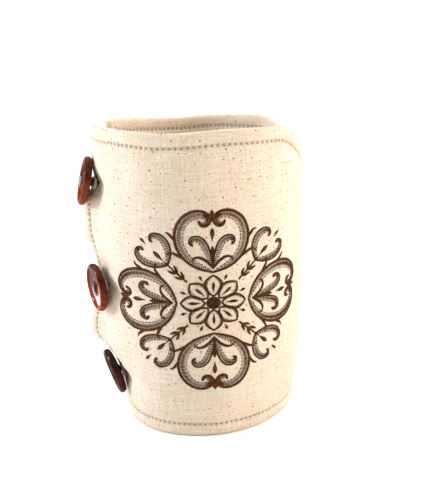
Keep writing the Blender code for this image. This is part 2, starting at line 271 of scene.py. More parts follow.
def rounded_corners(azimuth, z):
    """Azimuth and height of places on the cloth once its square corners are rounded."""
    top, hem, front, back = edge_distances(azimuth, z)
    turned, raised = azimuth, z
    for side, forward in ((front, 1.0), (back, -1.0)):
        for level, upward in ((top, -1.0), (hem, 1.0)):
            a = 1.0 - np.clip(side / CORNER_ROUND, 0.0, 1.0)
            b = 1.0 - np.clip(level / CORNER_ROUND, 0.0, 1.0)
            in_side = CORNER_ROUND * a * (1.0 - np.sqrt(1.0 - 0.5 * b * b))
            in_level = CORNER_ROUND * b * (1.0 - np.sqrt(1.0 - 0.5 * a * a))
            turned = turned + forward * np.degrees(in_side / BODY_RADIUS)
            raised = raised + upward * in_level
    return turned, raised


def face_point(azimuth, z, inset, outside=True):
    """Points of the linen's outer or inner face."""
    turned, raised = rounded_corners(azimuth, z)
    return around(turned, face_radius(azimuth, z, inset, outside), raised)


def face_normal(azimuth, z, inset, outside=True):
    """Unit normals of a face of the cloth, pointing away from the padding."""
    step_round = 0.4
    step_up = 0.0004
    along = (face_point(azimuth + step_round, z, inset, outside)
             - face_point(azimuth - step_round, z, inset, outside))
    up = face_point(azimuth, z + step_up, inset, outside) - face_point(azimuth, z - step_up, inset, outside)
    normal = np.cross(along, up)
    normal = normal / np.linalg.norm(normal, axis=-1, keepdims=True)
    return normal if outside else -normal


# ---- settings ---------------------------------------------------------------------------------

def colour(name, description, default):
    """A colour setting."""
    return FloatVectorProperty(name=name, description=description, subtype="COLOR", size=3, min=0.0, max=1.0,
                               default=default)


def length(name, description, default):
    """A length setting, in metres."""
    return FloatProperty(name=name, description=description, unit="LENGTH", min=0.0, precision=5,
                         default=default)


class ClothSettings(bpy.types.PropertyGroup):
    """The linen and its topstitching."""

    linen: colour("Linen", "Colour of the undyed yarn", (0.715, 0.618, 0.508))
    linen_light: colour("Light yarn", "Colour of its paler slubs", (0.880, 0.815, 0.735))
    fleck: colour("Fleck", "Colour of the bits of husk spun into the yarn", (0.100, 0.046, 0.020))
    yarn: length("Yarn spacing", "From one yarn of the weave to the next", 0.00070)
    inset: length("Topstitching inset", "From the folded edge to the line of topstitching", 0.0070)
    stitch: length("Stitch length", "From one needle hole to the next", 0.0029)
    stitch_thread: length("Topstitching thread", "Thickness of the topstitching thread", 0.00046)
    thread: colour("Topstitching colour", "Colour of the topstitching thread", (0.690, 0.575, 0.430))


class EmbroiderySettings(bpy.types.PropertyGroup):
    """The medallion embroidered on the front."""

    azimuth: FloatProperty(name="Azimuth", description="Middle of the medallion, round the beaker",
                           default=9.0)
    height: length("Height", "Middle of the medallion, above the hem", 0.0760)
    half_width: length("Half width", "Of the medallion's ring of motifs, round the beaker", 0.0488)
    half_height: length("Half height", "Of the medallion's ring of motifs", 0.0427)
    thread: length("Thread", "Thickness of one stitch", 0.00066)
    brown: colour("Thread colour", "Dark brown embroidery thread", (0.046, 0.0150, 0.0045))
    # The light end of the thread's colour: a painted sheen on the crowns of its strands.
    brown_light: colour("Painted thread sheen", "Where the sheen of the thread catches", (0.150, 0.054, 0.016))


class ButtonSettings(bpy.types.PropertyGroup):
    """Wooden buttons, the thread that sews them on and the loops."""

    radius: length("Button radius", "Half the button's width", 0.0131)
    thick: length("Button thickness", "From back to rim", 0.0044)
    wood: colour("Wood", "Red-brown of the polished wood", (0.085, 0.0085, 0.0025))
    wood_light: colour("Light grain", "Between the dark rings", (0.330, 0.054, 0.008))
    # Also the colour of the painted shade on the buttons.
    wood_dark_and_shade: colour("Dark grain", "Pores and late wood", (0.014, 0.002, 0.001))
    sewing: colour("Button thread", "Thread through the holes", (0.045, 0.022, 0.013))
    elastic: colour("Elastic", "Natural cover of the elastic cord", (0.500, 0.400, 0.280))


class StageSettings(bpy.types.PropertyGroup):
    """Floor and light."""

    floor: colour("Floor", "Plain pale floor", (0.930, 0.920, 0.905))
    room_back: FloatProperty(name="Bright side", description="Light of the room behind the cosy",
                             default=1.05)
    room_front: FloatProperty(name="Dim side", description="Light of the room before the cosy",
                              default=0.54)
    room_corner: FloatProperty(name="Dim corner", description="Share of it behind the handle side",
                               default=0.25)
    overhead: FloatProperty(name="Overhead", description="Strength of the broad light above", default=1.6)
    window: FloatProperty(name="Window light", description="Power of the window on the handle side",
                          unit="POWER", default=8.4)
    lamp: FloatProperty(name="Lamp light", description="Power of the soft lamp on the spout side",
                        unit="POWER", default=7.6)
    glint: FloatProperty(name="Glint", description="Power of the small light that the middle button mirrors",
                         unit="POWER", precision=4, default=0.007)
    floor_sides: IntProperty(name="Floor segments", description="Sides of the round floor",
                             default=96, min=12)


# ---- meshes -----------------------------------------------------------------------------------

def mesh_object(name, points, faces, mat, maps=None, attributes=None):
    """A smooth-shaded object, with UV maps given for each vertex or for each corner of each face."""
    mesh = bpy.data.meshes.new(name)
    mesh.from_pydata(np.asarray(points, float).tolist(), [], [tuple(int(i) for i in f) for f in faces])
    mesh.shade_smooth()
    corners = np.zeros(len(mesh.loops), int)
    mesh.loops.foreach_get("vertex_index", corners)
    for map_name, values in (maps or {}).items():
        layer = mesh.uv_layers.new(name=map_name)
        values = np.asarray(values, np.float32)
        layer.uv.foreach_set("vector", (values if len(values) == len(corners) else values[corners]).ravel())
    for attribute_name, values in (attributes or {}).items():
        attribute = mesh.attributes.new(attribute_name, "FLOAT", "POINT")
        attribute.data.foreach_set("value", np.asarray(values, np.float32).ravel())
    mesh.materials.append(mat)
    obj = bpy.data.objects.new(name, mesh)
    bpy.context.scene.collection.objects.link(obj)
    return obj


def rings_to_tube(rings):
    """Points, faces and UVs of a closed tube through rings of points, an array (rings, sides, 3)."""
    count, sides = rings.shape[:2]
    points = rings.reshape(-1, 3)
    index = np.arange(count * sides).reshape(count, sides)
    after = np.roll(index, -1, axis=1)
    quads = np.stack([index[:-1], after[:-1], after[1:], index[1:]], axis=-1).reshape(-1, 4)
    faces = [tuple(q) for q in quads] + [tuple(index[0][::-1]), tuple(index[-1])]
    steps = np.linalg.norm(np.diff(rings.mean(axis=1), axis=0), axis=1)
    along = np.concatenate([[0.0], np.cumsum(steps)])
    turn = np.arange(sides) / sides
    turn = 1.0 - np.abs(2.0 * turn - 1.0)
    uv = np.stack(np.broadcast_arrays(along[:, None], turn[None, :]), axis=-1).reshape(-1, 2)
    return points, faces, uv


def join_parts(parts):
    """One set of points, faces and UVs from several."""
    points, faces, maps, start = [], [], [], 0
    for part_points, part_faces, part_uv in parts:
        points.append(part_points)
        maps.append(part_uv)
        faces += [tuple(int(i) + start for i in face) for face in part_faces]
        start += len(part_points)
    return np.concatenate(points), faces, np.concatenate(maps)


UNUSUAL_WAY = (0.3, 0.2, 0.93)   # no thread or loop starts out this way
CURVE_STEPS = 24             # between two given points of a smooth line


def along_line(line):
    """Unit tangents of a line, and two unit directions across it that turn as little as possible."""
    tangent = np.gradient(line, axis=0)
    tangent /= np.linalg.norm(tangent, axis=1, keepdims=True)
    side = np.cross(tangent[0], UNUSUAL_WAY)
    side /= np.linalg.norm(side)
    sides = []
    for t in tangent:
        side = side - t * np.dot(side, t)
        side = side / np.linalg.norm(side)
        sides.append(side)
    sides = np.array(sides)
    return tangent, sides, np.cross(tangent, sides)


def round_tube(line, radius, sides):
    """Rings of a tube of one or many radii along a line."""
    line = np.asarray(line, float)
    _, first, second = along_line(line)
    turn = 2.0 * np.pi * np.arange(sides) / sides
    if np.ndim(radius) < 2:
        radius = np.reshape(radius, (-1, 1))
    radius = np.broadcast_to(radius, (len(line), sides))
    ring = np.cos(turn)[None, :, None] * first[:, None, :] + np.sin(turn)[None, :, None] * second[:, None, :]
    return line[:, None, :] + radius[:, :, None] * ring


def smooth_line(points, count):
    """Evenly shared points on a smooth curve through the given ones."""
    points = np.asarray(points, float)
    padded = np.concatenate([[2.0 * points[0] - points[1]], points, [2.0 * points[-1] - points[-2]]])
    t = (np.arange(CURVE_STEPS) / CURVE_STEPS)[:, None]
    fine = []
    for before, start, finish, after in zip(padded, padded[1:], padded[2:], padded[3:]):
        fine.append(0.5 * (2.0 * start + (finish - before) * t
                           + (2.0 * before - 5.0 * start + 4.0 * finish - after) * t ** 2
                           + (3.0 * start - before - 3.0 * finish + after) * t ** 3))
    fine = np.concatenate(fine + [points[-1:]])
    lengths = np.concatenate([[0.0], np.cumsum(np.linalg.norm(np.diff(fine, axis=0), axis=1))])
    even = np.linspace(0.0, lengths[-1], count)
    return np.stack([np.interp(even, lengths, fine[:, k]) for k in range(fine.shape[1])], axis=1)


def ride(obj, slot, *nodes):
    """The piece is hung on the cosy's body and may stand for CAD nodes, which it hides; slot is not used."""
    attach(obj, BODY)
    if nodes:
        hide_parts(*nodes)
    return obj


# ---- shader building --------------------------------------------------------------------------

class Nodes:
    """Places and links the nodes of one tree in few words."""

    def __init__(self, tree):
        self.tree = tree

    def add(self, kind, **settings):
        node = self.tree.nodes.new(kind)
        for key, value in settings.items():
            setattr(node, key, value)
        return node

    def put(self, value, socket):
        """Links an output to a socket, or sets the socket to a plain value."""
        if isinstance(value, bpy.types.NodeSocket):
            self.tree.links.new(value, socket)
        else:
            socket.default_value = value

    def math(self, operation, *values, clamp=False):
        node = self.add("ShaderNodeMath", operation=operation, use_clamp=clamp)
        for value, socket in zip(values, node.inputs):
            self.put(value, socket)
        return node.outputs[0]

    def plus(self, first, second):
        return self.math("ADD", first, second)

    def minus(self, first, second):
        return self.math("SUBTRACT", first, second)

    def times(self, first, second):
        return self.math("MULTIPLY", first, second)

    def vector(self, operation, *values):
        node = self.add("ShaderNodeVectorMath", operation=operation)
        for value, socket in zip(values, node.inputs):
            self.put(value, socket)
        return node.outputs["Value" if operation == "LENGTH" else "Vector"]

    def scaled(self, vector, amount):
        node = self.add("ShaderNodeVectorMath", operation="SCALE")
        self.put(vector, node.inputs[0])
        self.put(amount, node.inputs["Scale"])
        return node.outputs[0]

    def split(self, vector):
        node = self.add("ShaderNodeSeparateXYZ")
        self.put(vector, node.inputs[0])
        return node.outputs[0], node.outputs[1], node.outputs[2]

    def merge(self, x, y, z=0.0):
        node = self.add("ShaderNodeCombineXYZ")
        for value, socket in zip((x, y, z), node.inputs):
            self.put(value, socket)
        return node.outputs[0]

    def noise(self, vector, scale, detail, roughness=0.5):
        node = self.add("ShaderNodeTexNoise")
        for name, value in (("Vector", vector), ("Scale", scale),
                            ("Detail", detail), ("Roughness", roughness)):
            self.put(value, node.inputs[name])
        return node.outputs["Fac"]

    def voronoi(self, vector, scale):
        node = self.add("ShaderNodeTexVoronoi", voronoi_dimensions="2D")
        self.put(vector, node.inputs["Vector"])
        self.put(scale, node.inputs["Scale"])
        return node.outputs["Distance"], node.outputs["Color"]

    def ramp(self, value, low, high, to_low=0.0, to_high=1.0):
        """A value's stretch from low to high, spread from to_low to to_high with level ends."""
        node = self.add("ShaderNodeMapRange", interpolation_type="SMOOTHSTEP")
        for item, socket in zip((value, low, high, to_low, to_high), node.inputs):
            self.put(item, socket)
        return node.outputs[0]

    def mix(self, amount, first, second, blend="MIX"):
        node = self.add("ShaderNodeMix", data_type="RGBA", blend_type=blend)
        self.put(amount, node.inputs["Factor"])
        for value, name in ((first, "A"), (second, "B")):
            socket = [s for s in node.inputs if s.name == name and s.type == "RGBA"][0]
            self.put(value if isinstance(value, bpy.types.NodeSocket) else (*value[:3], 1.0), socket)
        return [s for s in node.outputs if s.type == "RGBA"][0]

    def bump(self, height, strength, distance, normal=None):
        node = self.add("ShaderNodeBump")
        for name, value in (("Height", height), ("Strength", strength), ("Distance", distance)):
            self.put(value, node.inputs[name])
        if normal is not None:
            self.put(normal, node.inputs["Normal"])
        return node.outputs["Normal"]

    def group(self, tree, **values):
        node = self.add("ShaderNodeGroup", node_tree=tree)
        for name, value in values.items():
            self.put(value, node.inputs[name.replace("_", " ")])
        return node.outputs


def shader_group(name, build, map_name, numbers, results):
    """The shader group of that name, built the first time that it is asked for.

    It takes a map and numbers, and gives out numbers that change over the surface."""
    if name not in bpy.data.node_groups:
        tree = bpy.data.node_groups.new(name, "ShaderNodeTree")
        tree.interface.new_socket(name=map_name, in_out="INPUT", socket_type="NodeSocketVector")
        for socket in numbers:
            tree.interface.new_socket(name=socket, in_out="INPUT", socket_type="NodeSocketFloat")
        for socket in results:
            tree.interface.new_socket(name=socket, in_out="OUTPUT", socket_type="NodeSocketFloat")
        nodes = Nodes(tree)
        build(nodes, nodes.add("NodeGroupInput").outputs, nodes.add("NodeGroupOutput").inputs)
    return bpy.data.node_groups[name]


def build_weave(n, source, sink):
    """Plain weave on a flat cloth map in metres: height of the yarns, and the slubs in them."""
    x, y, _ = n.split(source["Cloth"])
    # Yarns wander a little, and thicken in long slubs.
    wander_x = n.noise(n.merge(n.times(x, 900.0), n.times(y, 90.0)), 1.0, 1.0)
    wander_y = n.noise(n.merge(n.times(x, 80.0), n.times(y, 900.0), 5.0), 1.0, 1.0)
    u = n.plus(n.math("DIVIDE", x, source["Spacing"]), n.times(wander_x, 0.9))
    v = n.plus(n.math("DIVIDE", y, source["Spacing"]), n.times(wander_y, 0.9))
    cell_u = n.math("FLOOR", u)
    cell_v = n.math("FLOOR", v)
    from_u = n.minus(n.minus(u, cell_u), 0.5)
    from_v = n.minus(n.minus(v, cell_v), 0.5)
    over = n.math("MODULO", n.math("ABSOLUTE", n.plus(cell_u, cell_v)), 2.0)
    over = n.math("ROUND", over)
    round_u = n.math("COSINE", n.times(from_u, math.pi * 0.96))
    round_v = n.math("COSINE", n.times(from_v, math.pi * 0.96))
    warp = n.times(n.math("POWER", round_u, 0.6), n.math("MULTIPLY_ADD", round_v, 0.45, 0.55))
    weft = n.times(n.math("POWER", round_v, 0.6), n.math("MULTIPLY_ADD", round_u, 0.45, 0.55))
    height = n.plus(n.times(warp, over), n.times(weft, n.minus(1.0, over)))
    slub_x = n.noise(n.merge(n.times(cell_u, 7.31), n.times(y, 70.0)), 1.0, 2.0)
    slub_y = n.noise(n.merge(n.times(cell_v, 5.17), n.times(x, 60.0), 9.0), 1.0, 2.0)
    slub = n.plus(n.times(slub_x, over), n.times(slub_y, n.minus(1.0, over)))
    n.put(height, sink["Height"])
    n.put(slub, sink["Slub"])


def weave_group():
    return shader_group("Plain weave", build_weave, "Cloth", ("Spacing",), ("Height", "Slub"))


def build_flecks(n, source, sink):
    """Short dark bits of husk scattered over a cloth map in metres."""
    bent = n.add("ShaderNodeTexNoise")
    n.put(n.scaled(source["Cloth"], 900.0), bent.inputs["Vector"])
    n.put(1.0, bent.inputs["Scale"])
    wobble = n.scaled(bent.outputs["Color"], 0.00055)
    place = n.vector("ADD", source["Cloth"], wobble)
    far, chance = n.voronoi(place, n.math("DIVIDE", 1.0, source["Cell"]))
    metres = n.times(far, source["Cell"])
    red, green, _ = n.split(chance)
    reach = n.times(source["Size"], n.math("MULTIPLY_ADD", green, 0.75, 0.25))
    inside = n.minus(1.0, n.ramp(n.math("DIVIDE", metres, reach), 0.55, 1.0))
    kept = n.math("LESS_THAN", red, source["Share"])
    n.put(n.times(inside, kept), sink["Fleck"])


def fleck_group():
    return shader_group("Husk flecks", build_flecks, "Cloth", ("Cell", "Size", "Share"), ("Fleck",))


def build_twist(n, source, sink):
    """Plied thread: slanting strands round a tube whose map runs in metres along and 0 to 1 about."""
    along, about, _ = n.split(source["Thread"])
    slant = n.plus(n.math("DIVIDE", along, source["Ply"]), about)
    height = n.math("ABSOLUTE", n.math("SINE", n.times(slant, math.pi)))
    place = n.add("ShaderNodeNewGeometry").outputs["Position"]
    shade = n.noise(place, 700.0, 3.0)
    n.put(height, sink["Height"])
    n.put(shade, sink["Shade"])


def twist_group():
    return shader_group("Thread twist", build_twist, "Thread", ("Ply",), ("Height", "Shade"))


def new_material(name):
    """A material with its node builder and its shader's sockets."""
    mat = bpy.data.materials.new(name)
    mat.use_nodes = True
    nodes = Nodes(mat.node_tree)
    return mat, nodes, mat.node_tree.nodes["Principled BSDF"].inputs


def uv_map(nodes, name):
    return nodes.add("ShaderNodeUVMap", uv_map=name).outputs["UV"]


def attribute(nodes, name):
    return nodes.add("ShaderNodeAttribute", attribute_name=name).outputs["Fac"]


def toned(base, share):
    """A colour made lighter or darker."""
    return [min(1.0, share * c) for c in base]


STRAW = (0.80, 0.65, 0.44)   # cloudy patches of the linen
BRAN = (0.62, 0.47, 0.32)    # fine specks in its yarns
ROSY = (0.80, 0.62, 0.53)    # warmer patches
DULL = (0.62, 0.49, 0.36)    # darker lengths of yarn
HOLE_SHADE = 0.42            # how dark the painted shade in a needle hole is
SEAM_SHADE = 0.10            # and the painted shade on the cloth along the stitching
HOLE_WARMTH = (1.0, 1.35, 1.75)     # red, green and blue fall off unevenly there, so the painted shade is warm


def linen_material(cloth):
    """Undyed linen: uneven yarns, dark flecks, painted shade between yarns, in needle holes, along the
    stitching.
    """
    mat, n, shader = new_material("oatmeal_linen")
    place = uv_map(n, "cloth")
    weave = n.group(weave_group(), Cloth=place, Spacing=cloth.yarn)
    big = n.group(fleck_group(), Cloth=place, Cell=0.0046, Size=0.00056, Share=0.80)["Fleck"]
    small = n.group(fleck_group(), Cloth=n.vector("ADD", place, (3.1, 1.7, 0.0)), Cell=0.0019, Size=0.00034,
                    Share=0.65)["Fleck"]
    cloudy = n.noise(place, 95.0, 4.0, 0.6)
    yarn = n.mix(n.ramp(weave["Slub"], 0.30, 0.72), cloth.linen, cloth.linen_light)
    yarn = n.mix(n.ramp(cloudy, 0.35, 0.70, 0.0, 0.50), yarn, STRAW)
    speck = n.noise(place, 1150.0, 3.0, 0.75)
    yarn = n.mix(n.ramp(speck, 0.48, 0.64, 0.0, 0.95), yarn, BRAN)
    rosy = n.noise(n.vector("ADD", place, (0.0, 2.3, 0.0)), 130.0, 4.0, 0.6)
    yarn = n.mix(n.ramp(rosy, 0.40, 0.70, 0.0, 0.50), yarn, ROSY)
    # Painted shade in the gaps between the yarns.
    gap_shade = n.ramp(weave["Height"], 0.30, 0.85, 0.84, 1.0)
    yarn = n.mix(1.0, yarn, n.merge(gap_shade, gap_shade, gap_shade), "MULTIPLY")
    x, y, _ = n.split(place)
    streaks = n.plus(n.noise(n.merge(n.times(x, 60.0), n.times(y, 1100.0)), 1.0, 2.0),
                     n.noise(n.merge(n.times(x, 1100.0), n.times(y, 75.0), 3.0), 1.0, 2.0))
    yarn = n.mix(n.ramp(streaks, 1.20, 0.75, 0.0, 0.58), yarn, DULL)
    yarn = n.mix(n.times(small, 0.50), yarn, cloth.fleck)
    yarn = n.mix(n.times(big, 0.85), yarn, cloth.fleck)
    # Each needle hole is a dimple on the line of stitching, with painted shade in it and along the line.
    across = attribute(n, "seam_across")
    along = attribute(n, "seam_along")
    phase = n.math("PINGPONG", along, 0.5 * cloth.stitch)
    from_hole = n.vector("LENGTH", n.merge(across, phase))
    hole = n.minus(1.0, n.ramp(from_hole, 0.00025, 0.00085))
    near = n.minus(1.0, n.ramp(n.math("ABSOLUTE", across), 0.0002, 0.0016))
    shade = n.plus(n.times(hole, HOLE_SHADE), n.times(near, SEAM_SHADE))
    shade = n.math("SUBTRACT", 1.0, shade, clamp=True)
    yarn = n.mix(1.0, yarn, n.merge(*(n.math("POWER", shade, power) for power in HOLE_WARMTH)), "MULTIPLY")
    n.put(yarn, shader["Base Color"])
    fuzz = n.noise(place, 2600.0, 3.0, 0.7)
    drawn = n.times(near, n.math("COSINE", n.times(along, 2.0 * math.pi / cloth.stitch)))
    normal = n.bump(n.minus(n.times(drawn, -0.5), hole), 0.9, 0.00035)
    normal = n.bump(fuzz, 0.5, 0.00012, normal)
    normal = n.bump(weave["Height"], 0.70, 0.00020, normal)
    n.put(normal, shader["Normal"])
    n.put(n.ramp(fuzz, 0.3, 0.7, 0.82, 0.96), shader["Roughness"])
    shader["Sheen Weight"].default_value = 0.10
    shader["Sheen Roughness"].default_value = 0.45
    shader["Specular IOR Level"].default_value = 0.20
    return mat


def thread_material(name, dark, light, roughness, ply, sheen=0.2, shine=0.35):
    """Twisted thread that shades from one tone to another along its strands."""
    mat, n, shader = new_material(name)
    twist = n.group(twist_group(), Thread=uv_map(n, "thread"), Ply=ply)
    # Grooves between the strands get painted shade, their crowns the light colour as a painted sheen.
    tone = n.times(n.ramp(twist["Shade"], 0.35, 0.7), n.ramp(twist["Height"], 0.2, 0.9, 0.35, 1.0))
    n.put(n.mix(tone, dark, light), shader["Base Color"])
    n.put(n.ramp(twist["Shade"], 0.3, 0.7, roughness - 0.08, roughness + 0.08), shader["Roughness"])
    n.put(n.bump(twist["Height"], 0.7, 0.00012), shader["Normal"])
    shader["Sheen Weight"].default_value = sheen
    shader["Specular IOR Level"].default_value = shine
    return mat


RINGS = 1500.0               # growth rings, in radians a metre
PORES_ACROSS = 3200.0        # pores are narrow across the grain
PORES_ALONG = 260.0
UPPER_SHADE = 0.62             # how far painted shade darkens the upper part of a button, towards the dark wood
UPPER_SHADE_SPAN = 0.010           # over this much of its height, from its middle up
UPPER_SHADE_UNEVEN = 0.008         # and how unevenly it starts


def wood_material(row, settings):
    """Polished red-brown wood: growth rings cut at a slant, pores along the grain, a clear gloss, painted
    shade.
    """
    mat, n, shader = new_material("wood_" + row["name"])
    place = n.add("ShaderNodeTexCoord").outputs["Object"]
    mapping = n.add("ShaderNodeMapping")
    n.put(place, mapping.inputs["Vector"])
    mapping.inputs["Location"].default_value = (0.013 * row["grain"], 0.031 * row["grain"], 0.002)
    mapping.inputs["Rotation"].default_value = (0.5, 0.35, row["grain"])
    grain = mapping.outputs[0]
    x, y, z = n.split(grain)
    warp = n.noise(grain, 60.0, 3.0)
    ring = n.math("SINE", n.math("MULTIPLY_ADD", warp, 11.0, n.times(x, RINGS)))
    ring = n.ramp(ring, -0.6, 1.0)
    fibre = n.merge(n.times(x, PORES_ACROSS), n.times(y, PORES_ALONG), z)
    pores = n.ramp(n.noise(fibre, 1.0, 3.0, 0.6), 0.56, 0.70)
    cloudy = n.ramp(n.noise(grain, 120.0, 3.0), 0.35, 0.65)
    base = n.mix(n.times(ring, 0.35), settings.wood, settings.wood_light)
    base = n.mix(n.times(cloudy, 0.55), base, settings.wood_light)
    base = n.mix(n.times(pores, 0.60), base, settings.wood_dark_and_shade)
    # Painted shade: the upper part of each button is darkened towards the dark wood, from its middle up.
    heart = n.ramp(n.math("MULTIPLY_ADD", warp, UPPER_SHADE_UNEVEN, n.split(place)[1]), 0.0, UPPER_SHADE_SPAN)
    base = n.mix(n.times(heart, UPPER_SHADE), base, settings.wood_dark_and_shade)
    # Painted shade over the whole button, set for each button; most on the bottom one, which faces away from
    # the light.
    base = n.mix(row["dark"], base, settings.wood_dark_and_shade)
    n.put(base, shader["Base Color"])
    n.put(n.ramp(pores, 0.0, 1.0, 0.24, 0.42), shader["Roughness"])
    n.put(n.bump(pores, 0.25, -0.00006), shader["Normal"])
    shader["Specular IOR Level"].default_value = 0.0
    shader["Coat Weight"].default_value = 0.34
    shader["Coat IOR"].default_value = 1.42
    shader["Coat Roughness"].default_value = 0.06
    return mat


def floor_material(stage):
    """Matt pale board with the faintest mottling."""
    mat, n, shader = new_material("pale_floor")
    place = n.add("ShaderNodeTexCoord").outputs["Object"]
    mottle = n.noise(place, 14.0, 4.0)
    dimmer = toned(stage.floor, 0.96)
    n.put(n.mix(n.ramp(mottle, 0.3, 0.7), stage.floor, dimmer), shader["Base Color"])
    n.put(n.ramp(mottle, 0.3, 0.7, 0.55, 0.7), shader["Roughness"])
    shader["Specular IOR Level"].default_value = 0.2
    return mat


# ---- the wrap ---------------------------------------------------------------------------------

def border_and_plain(total, step):
    """Places from 0 to total: close together at both borders and evenly spaced between them."""
    border = list(BORDER_STEPS)
    plain = total - 2.0 * border[-1]
    count = round(plain / step)
    middle = [border[-1] + plain * i / count for i in range(1, count)]
    return np.array(border + middle + [total - d for d in reversed(border)])


def wrap_grid():
    """Azimuth and height of each grid point of the cloth, as arrays (columns, rows)."""
    shares = border_and_plain(math.radians(FREE_EDGE_BACK - front_edge(0.0)) * BODY_RADIUS, COLUMN_STEP)
    shares = shares / shares[-1]
    rows = border_and_plain(HEIGHT, ROW_STEP)
    edge_top = front_edge(HEIGHT)
    top = top_height(edge_top + shares * (FREE_EDGE_BACK - edge_top))[:, None]
    stretch = (top - ROWS_LEVEL_BELOW) / (HEIGHT - ROWS_LEVEL_BELOW)
    z = np.where(rows > ROWS_LEVEL_BELOW, ROWS_LEVEL_BELOW + (rows - ROWS_LEVEL_BELOW) * stretch, rows)
    azimuth = front_edge(z) + shares[:, None] * (FREE_EDGE_BACK - front_edge(z))
    # The last row lies on the top edge itself, wherever the lean of the columns has put it.
    z[:, -1] = top_height(azimuth[:, -1])
    return azimuth, z


def level_place(azimuth):
    """Place round the wrap from the hem's front corner, in metres."""
    return np.radians(azimuth - front_edge(0.0)) * BODY_RADIUS


def seam_places(azimuth, z, inset):
    """Distance off the nearest line of topstitching, and the place along it."""
    sides = np.stack(edge_distances(azimuth, z))
    nearest = sides.argmin(axis=0)
    across = sides.min(axis=0) - inset
    along = np.where(nearest < 2, level_place(azimuth), z)
    return across, along


OUT_OF_THE_WAY = (0.7, 0.4)  # shift of the inner face on the cloth map, so it has flecks of its own
MAP_SPARE = 0.01             # margin round each face on the map for baking


def make_wrap(context):
    """Two faces of linen that meet in folded edges, as one closed piece."""
    cloth = context.scene.cosy_cloth
    azimuth, z = wrap_grid()
    outer = face_point(azimuth, z, cloth.inset, True)
    inner = face_point(azimuth, z, cloth.inset, False)
    columns, rows = azimuth.shape
    out_index = np.arange(columns * rows).reshape(columns, rows)
    in_index = out_index.copy()
    inside = np.zeros((columns, rows), bool)
    inside[1:-1, 1:-1] = True
    in_index[inside] = columns * rows + np.arange(inside.sum())
    rim = ~inside
    outer[rim] = 0.5 * (outer[rim] + inner[rim])
    points = np.concatenate([outer.reshape(-1, 3), inner[inside]])

    def quads(index):
        corners = index[:-1, :-1], index[1:, :-1], index[1:, 1:], index[:-1, 1:]
        return np.stack(corners, axis=-1).reshape(-1, 4)

    faces = np.concatenate([quads(out_index), quads(in_index)[:, ::-1]])
    flat = np.stack([level_place(azimuth), z], axis=-1).reshape(-1, 2)
    outer_map = flat[quads(out_index).ravel()]
    inner_map = flat[quads(out_index)[:, ::-1].ravel()]
    sheet = flat[:, 0].max() + 2.0 * MAP_SPARE, 2.0 * (HEIGHT + 2.0 * MAP_SPARE)
    across, along = seam_places(azimuth, z, cloth.inset)
    obj = mesh_object(
        "linen_wrap", points, faces, linen_material(cloth),
        maps={"cloth": np.concatenate([outer_map, inner_map + OUT_OF_THE_WAY]),
              "OFBake": np.concatenate([(outer_map + MAP_SPARE) / sheet,
                                        (inner_map + (MAP_SPARE, HEIGHT + 3.0 * MAP_SPARE)) / sheet])},
        attributes={"seam_across": np.concatenate([across.ravel(), across[inside]]),
                    "seam_along": np.concatenate([along.ravel(), along[inside]])})
    ride(obj, "linen", "wrap")


# ---- topstitching -----------------------------------------------------------------------------

def stitch_profile(count):
    """Height and fullness of a stitch along its length: its ends dive into the cloth."""
    t = np.linspace(0.0, 1.0, count)
    lift = (4.0 * t * (1.0 - t)) ** 0.45
    full = 0.45 + 0.55 * (4.0 * t * (1.0 - t)) ** 0.3
    return t, lift, full


def stitches_on(starts, ends, place, normal_at, thick, rings=3, sides=4, sink=0.55, rise=0.5):
    """Points, faces and UVs of many stitches laid on a surface.

    starts and ends are flat places (n, 2); place turns flat places into points and normal_at into
    normals.  A stitch's ends lie sink thread radii under the surface, its middle rise above it."""
    starts = np.asarray(starts, float)
    ends = np.asarray(ends, float)
    t, lift, full = stitch_profile(rings)
    flat = starts[:, None, :] + (ends - starts)[:, None, :] * t[None, :, None]
    base = place(flat)
    normal = normal_at(flat)
    radius = 0.5 * thick
    line = base + normal * ((-sink + (sink + rise) * lift) * radius)[None, :, None]
    tangent = np.gradient(line, axis=1)
    tangent /= np.linalg.norm(tangent, axis=2, keepdims=True)
    side = np.cross(tangent, normal)
    side /= np.linalg.norm(side, axis=2, keepdims=True)
    up = np.cross(side, tangent)
    turn = 2.0 * np.pi * (np.arange(sides) + 0.5) / sides
    ring = (np.cos(turn)[None, None, :, None] * side[:, :, None, :]
            + np.sin(turn)[None, None, :, None] * up[:, :, None, :])
    shape = line[:, :, None, :] + radius * full[None, :, None, None] * ring
    n = len(starts)
    index = np.arange(n * rings * sides).reshape(n, rings, sides)
    after = np.roll(index, -1, axis=2)
    quads = np.stack([index[:, :-1], after[:, :-1], after[:, 1:], index[:, 1:]], axis=-1).reshape(-1, 4)
    caps = np.concatenate([index[:, 0, ::-1], index[:, -1, :]])
    faces = [tuple(q) for q in quads] + [tuple(c) for c in caps]
    long = np.linalg.norm(ends - starts, axis=1)
    along = long[:, None, None] * t[None, :, None]
    about = (1.0 - np.abs(2.0 * np.arange(sides) / sides - 1.0))[None, None, :]
    uv = np.stack(np.broadcast_arrays(along, about), axis=-1)
    return shape.reshape(-1, 3), faces, uv.reshape(-1, 2)


def seam_line(side, inset, count=1600):
    """Azimuths and heights along one side's line of topstitching, on the wrap."""
    t = np.linspace(0.0, 1.0, count)
    inset_degrees = math.degrees(inset / BODY_RADIUS)
    if side in ("top", "hem"):
        azimuth = front_edge(HEIGHT if side == "top" else 0.0) + inset_degrees
        azimuth = azimuth + (FREE_EDGE_BACK - inset_degrees - azimuth) * t
        z = top_height(azimuth) - inset / top_slope(azimuth) if side == "top" else inset + 0.0 * t
        return azimuth, z
    top = top_height(front_edge(HEIGHT) if side == "front" else FREE_EDGE_BACK) - inset
    z = inset + (top - inset) * t
    azimuth = front_edge(z) + inset_degrees if side == "front" else FREE_EDGE_BACK - inset_degrees + 0.0 * z
    return azimuth, z


STITCH_SLANT = 0.00009       # how unevenly the stitches lie, each way
HOLE_HALF = 0.00012          # a stitch starts this far past the middle of its needle hole


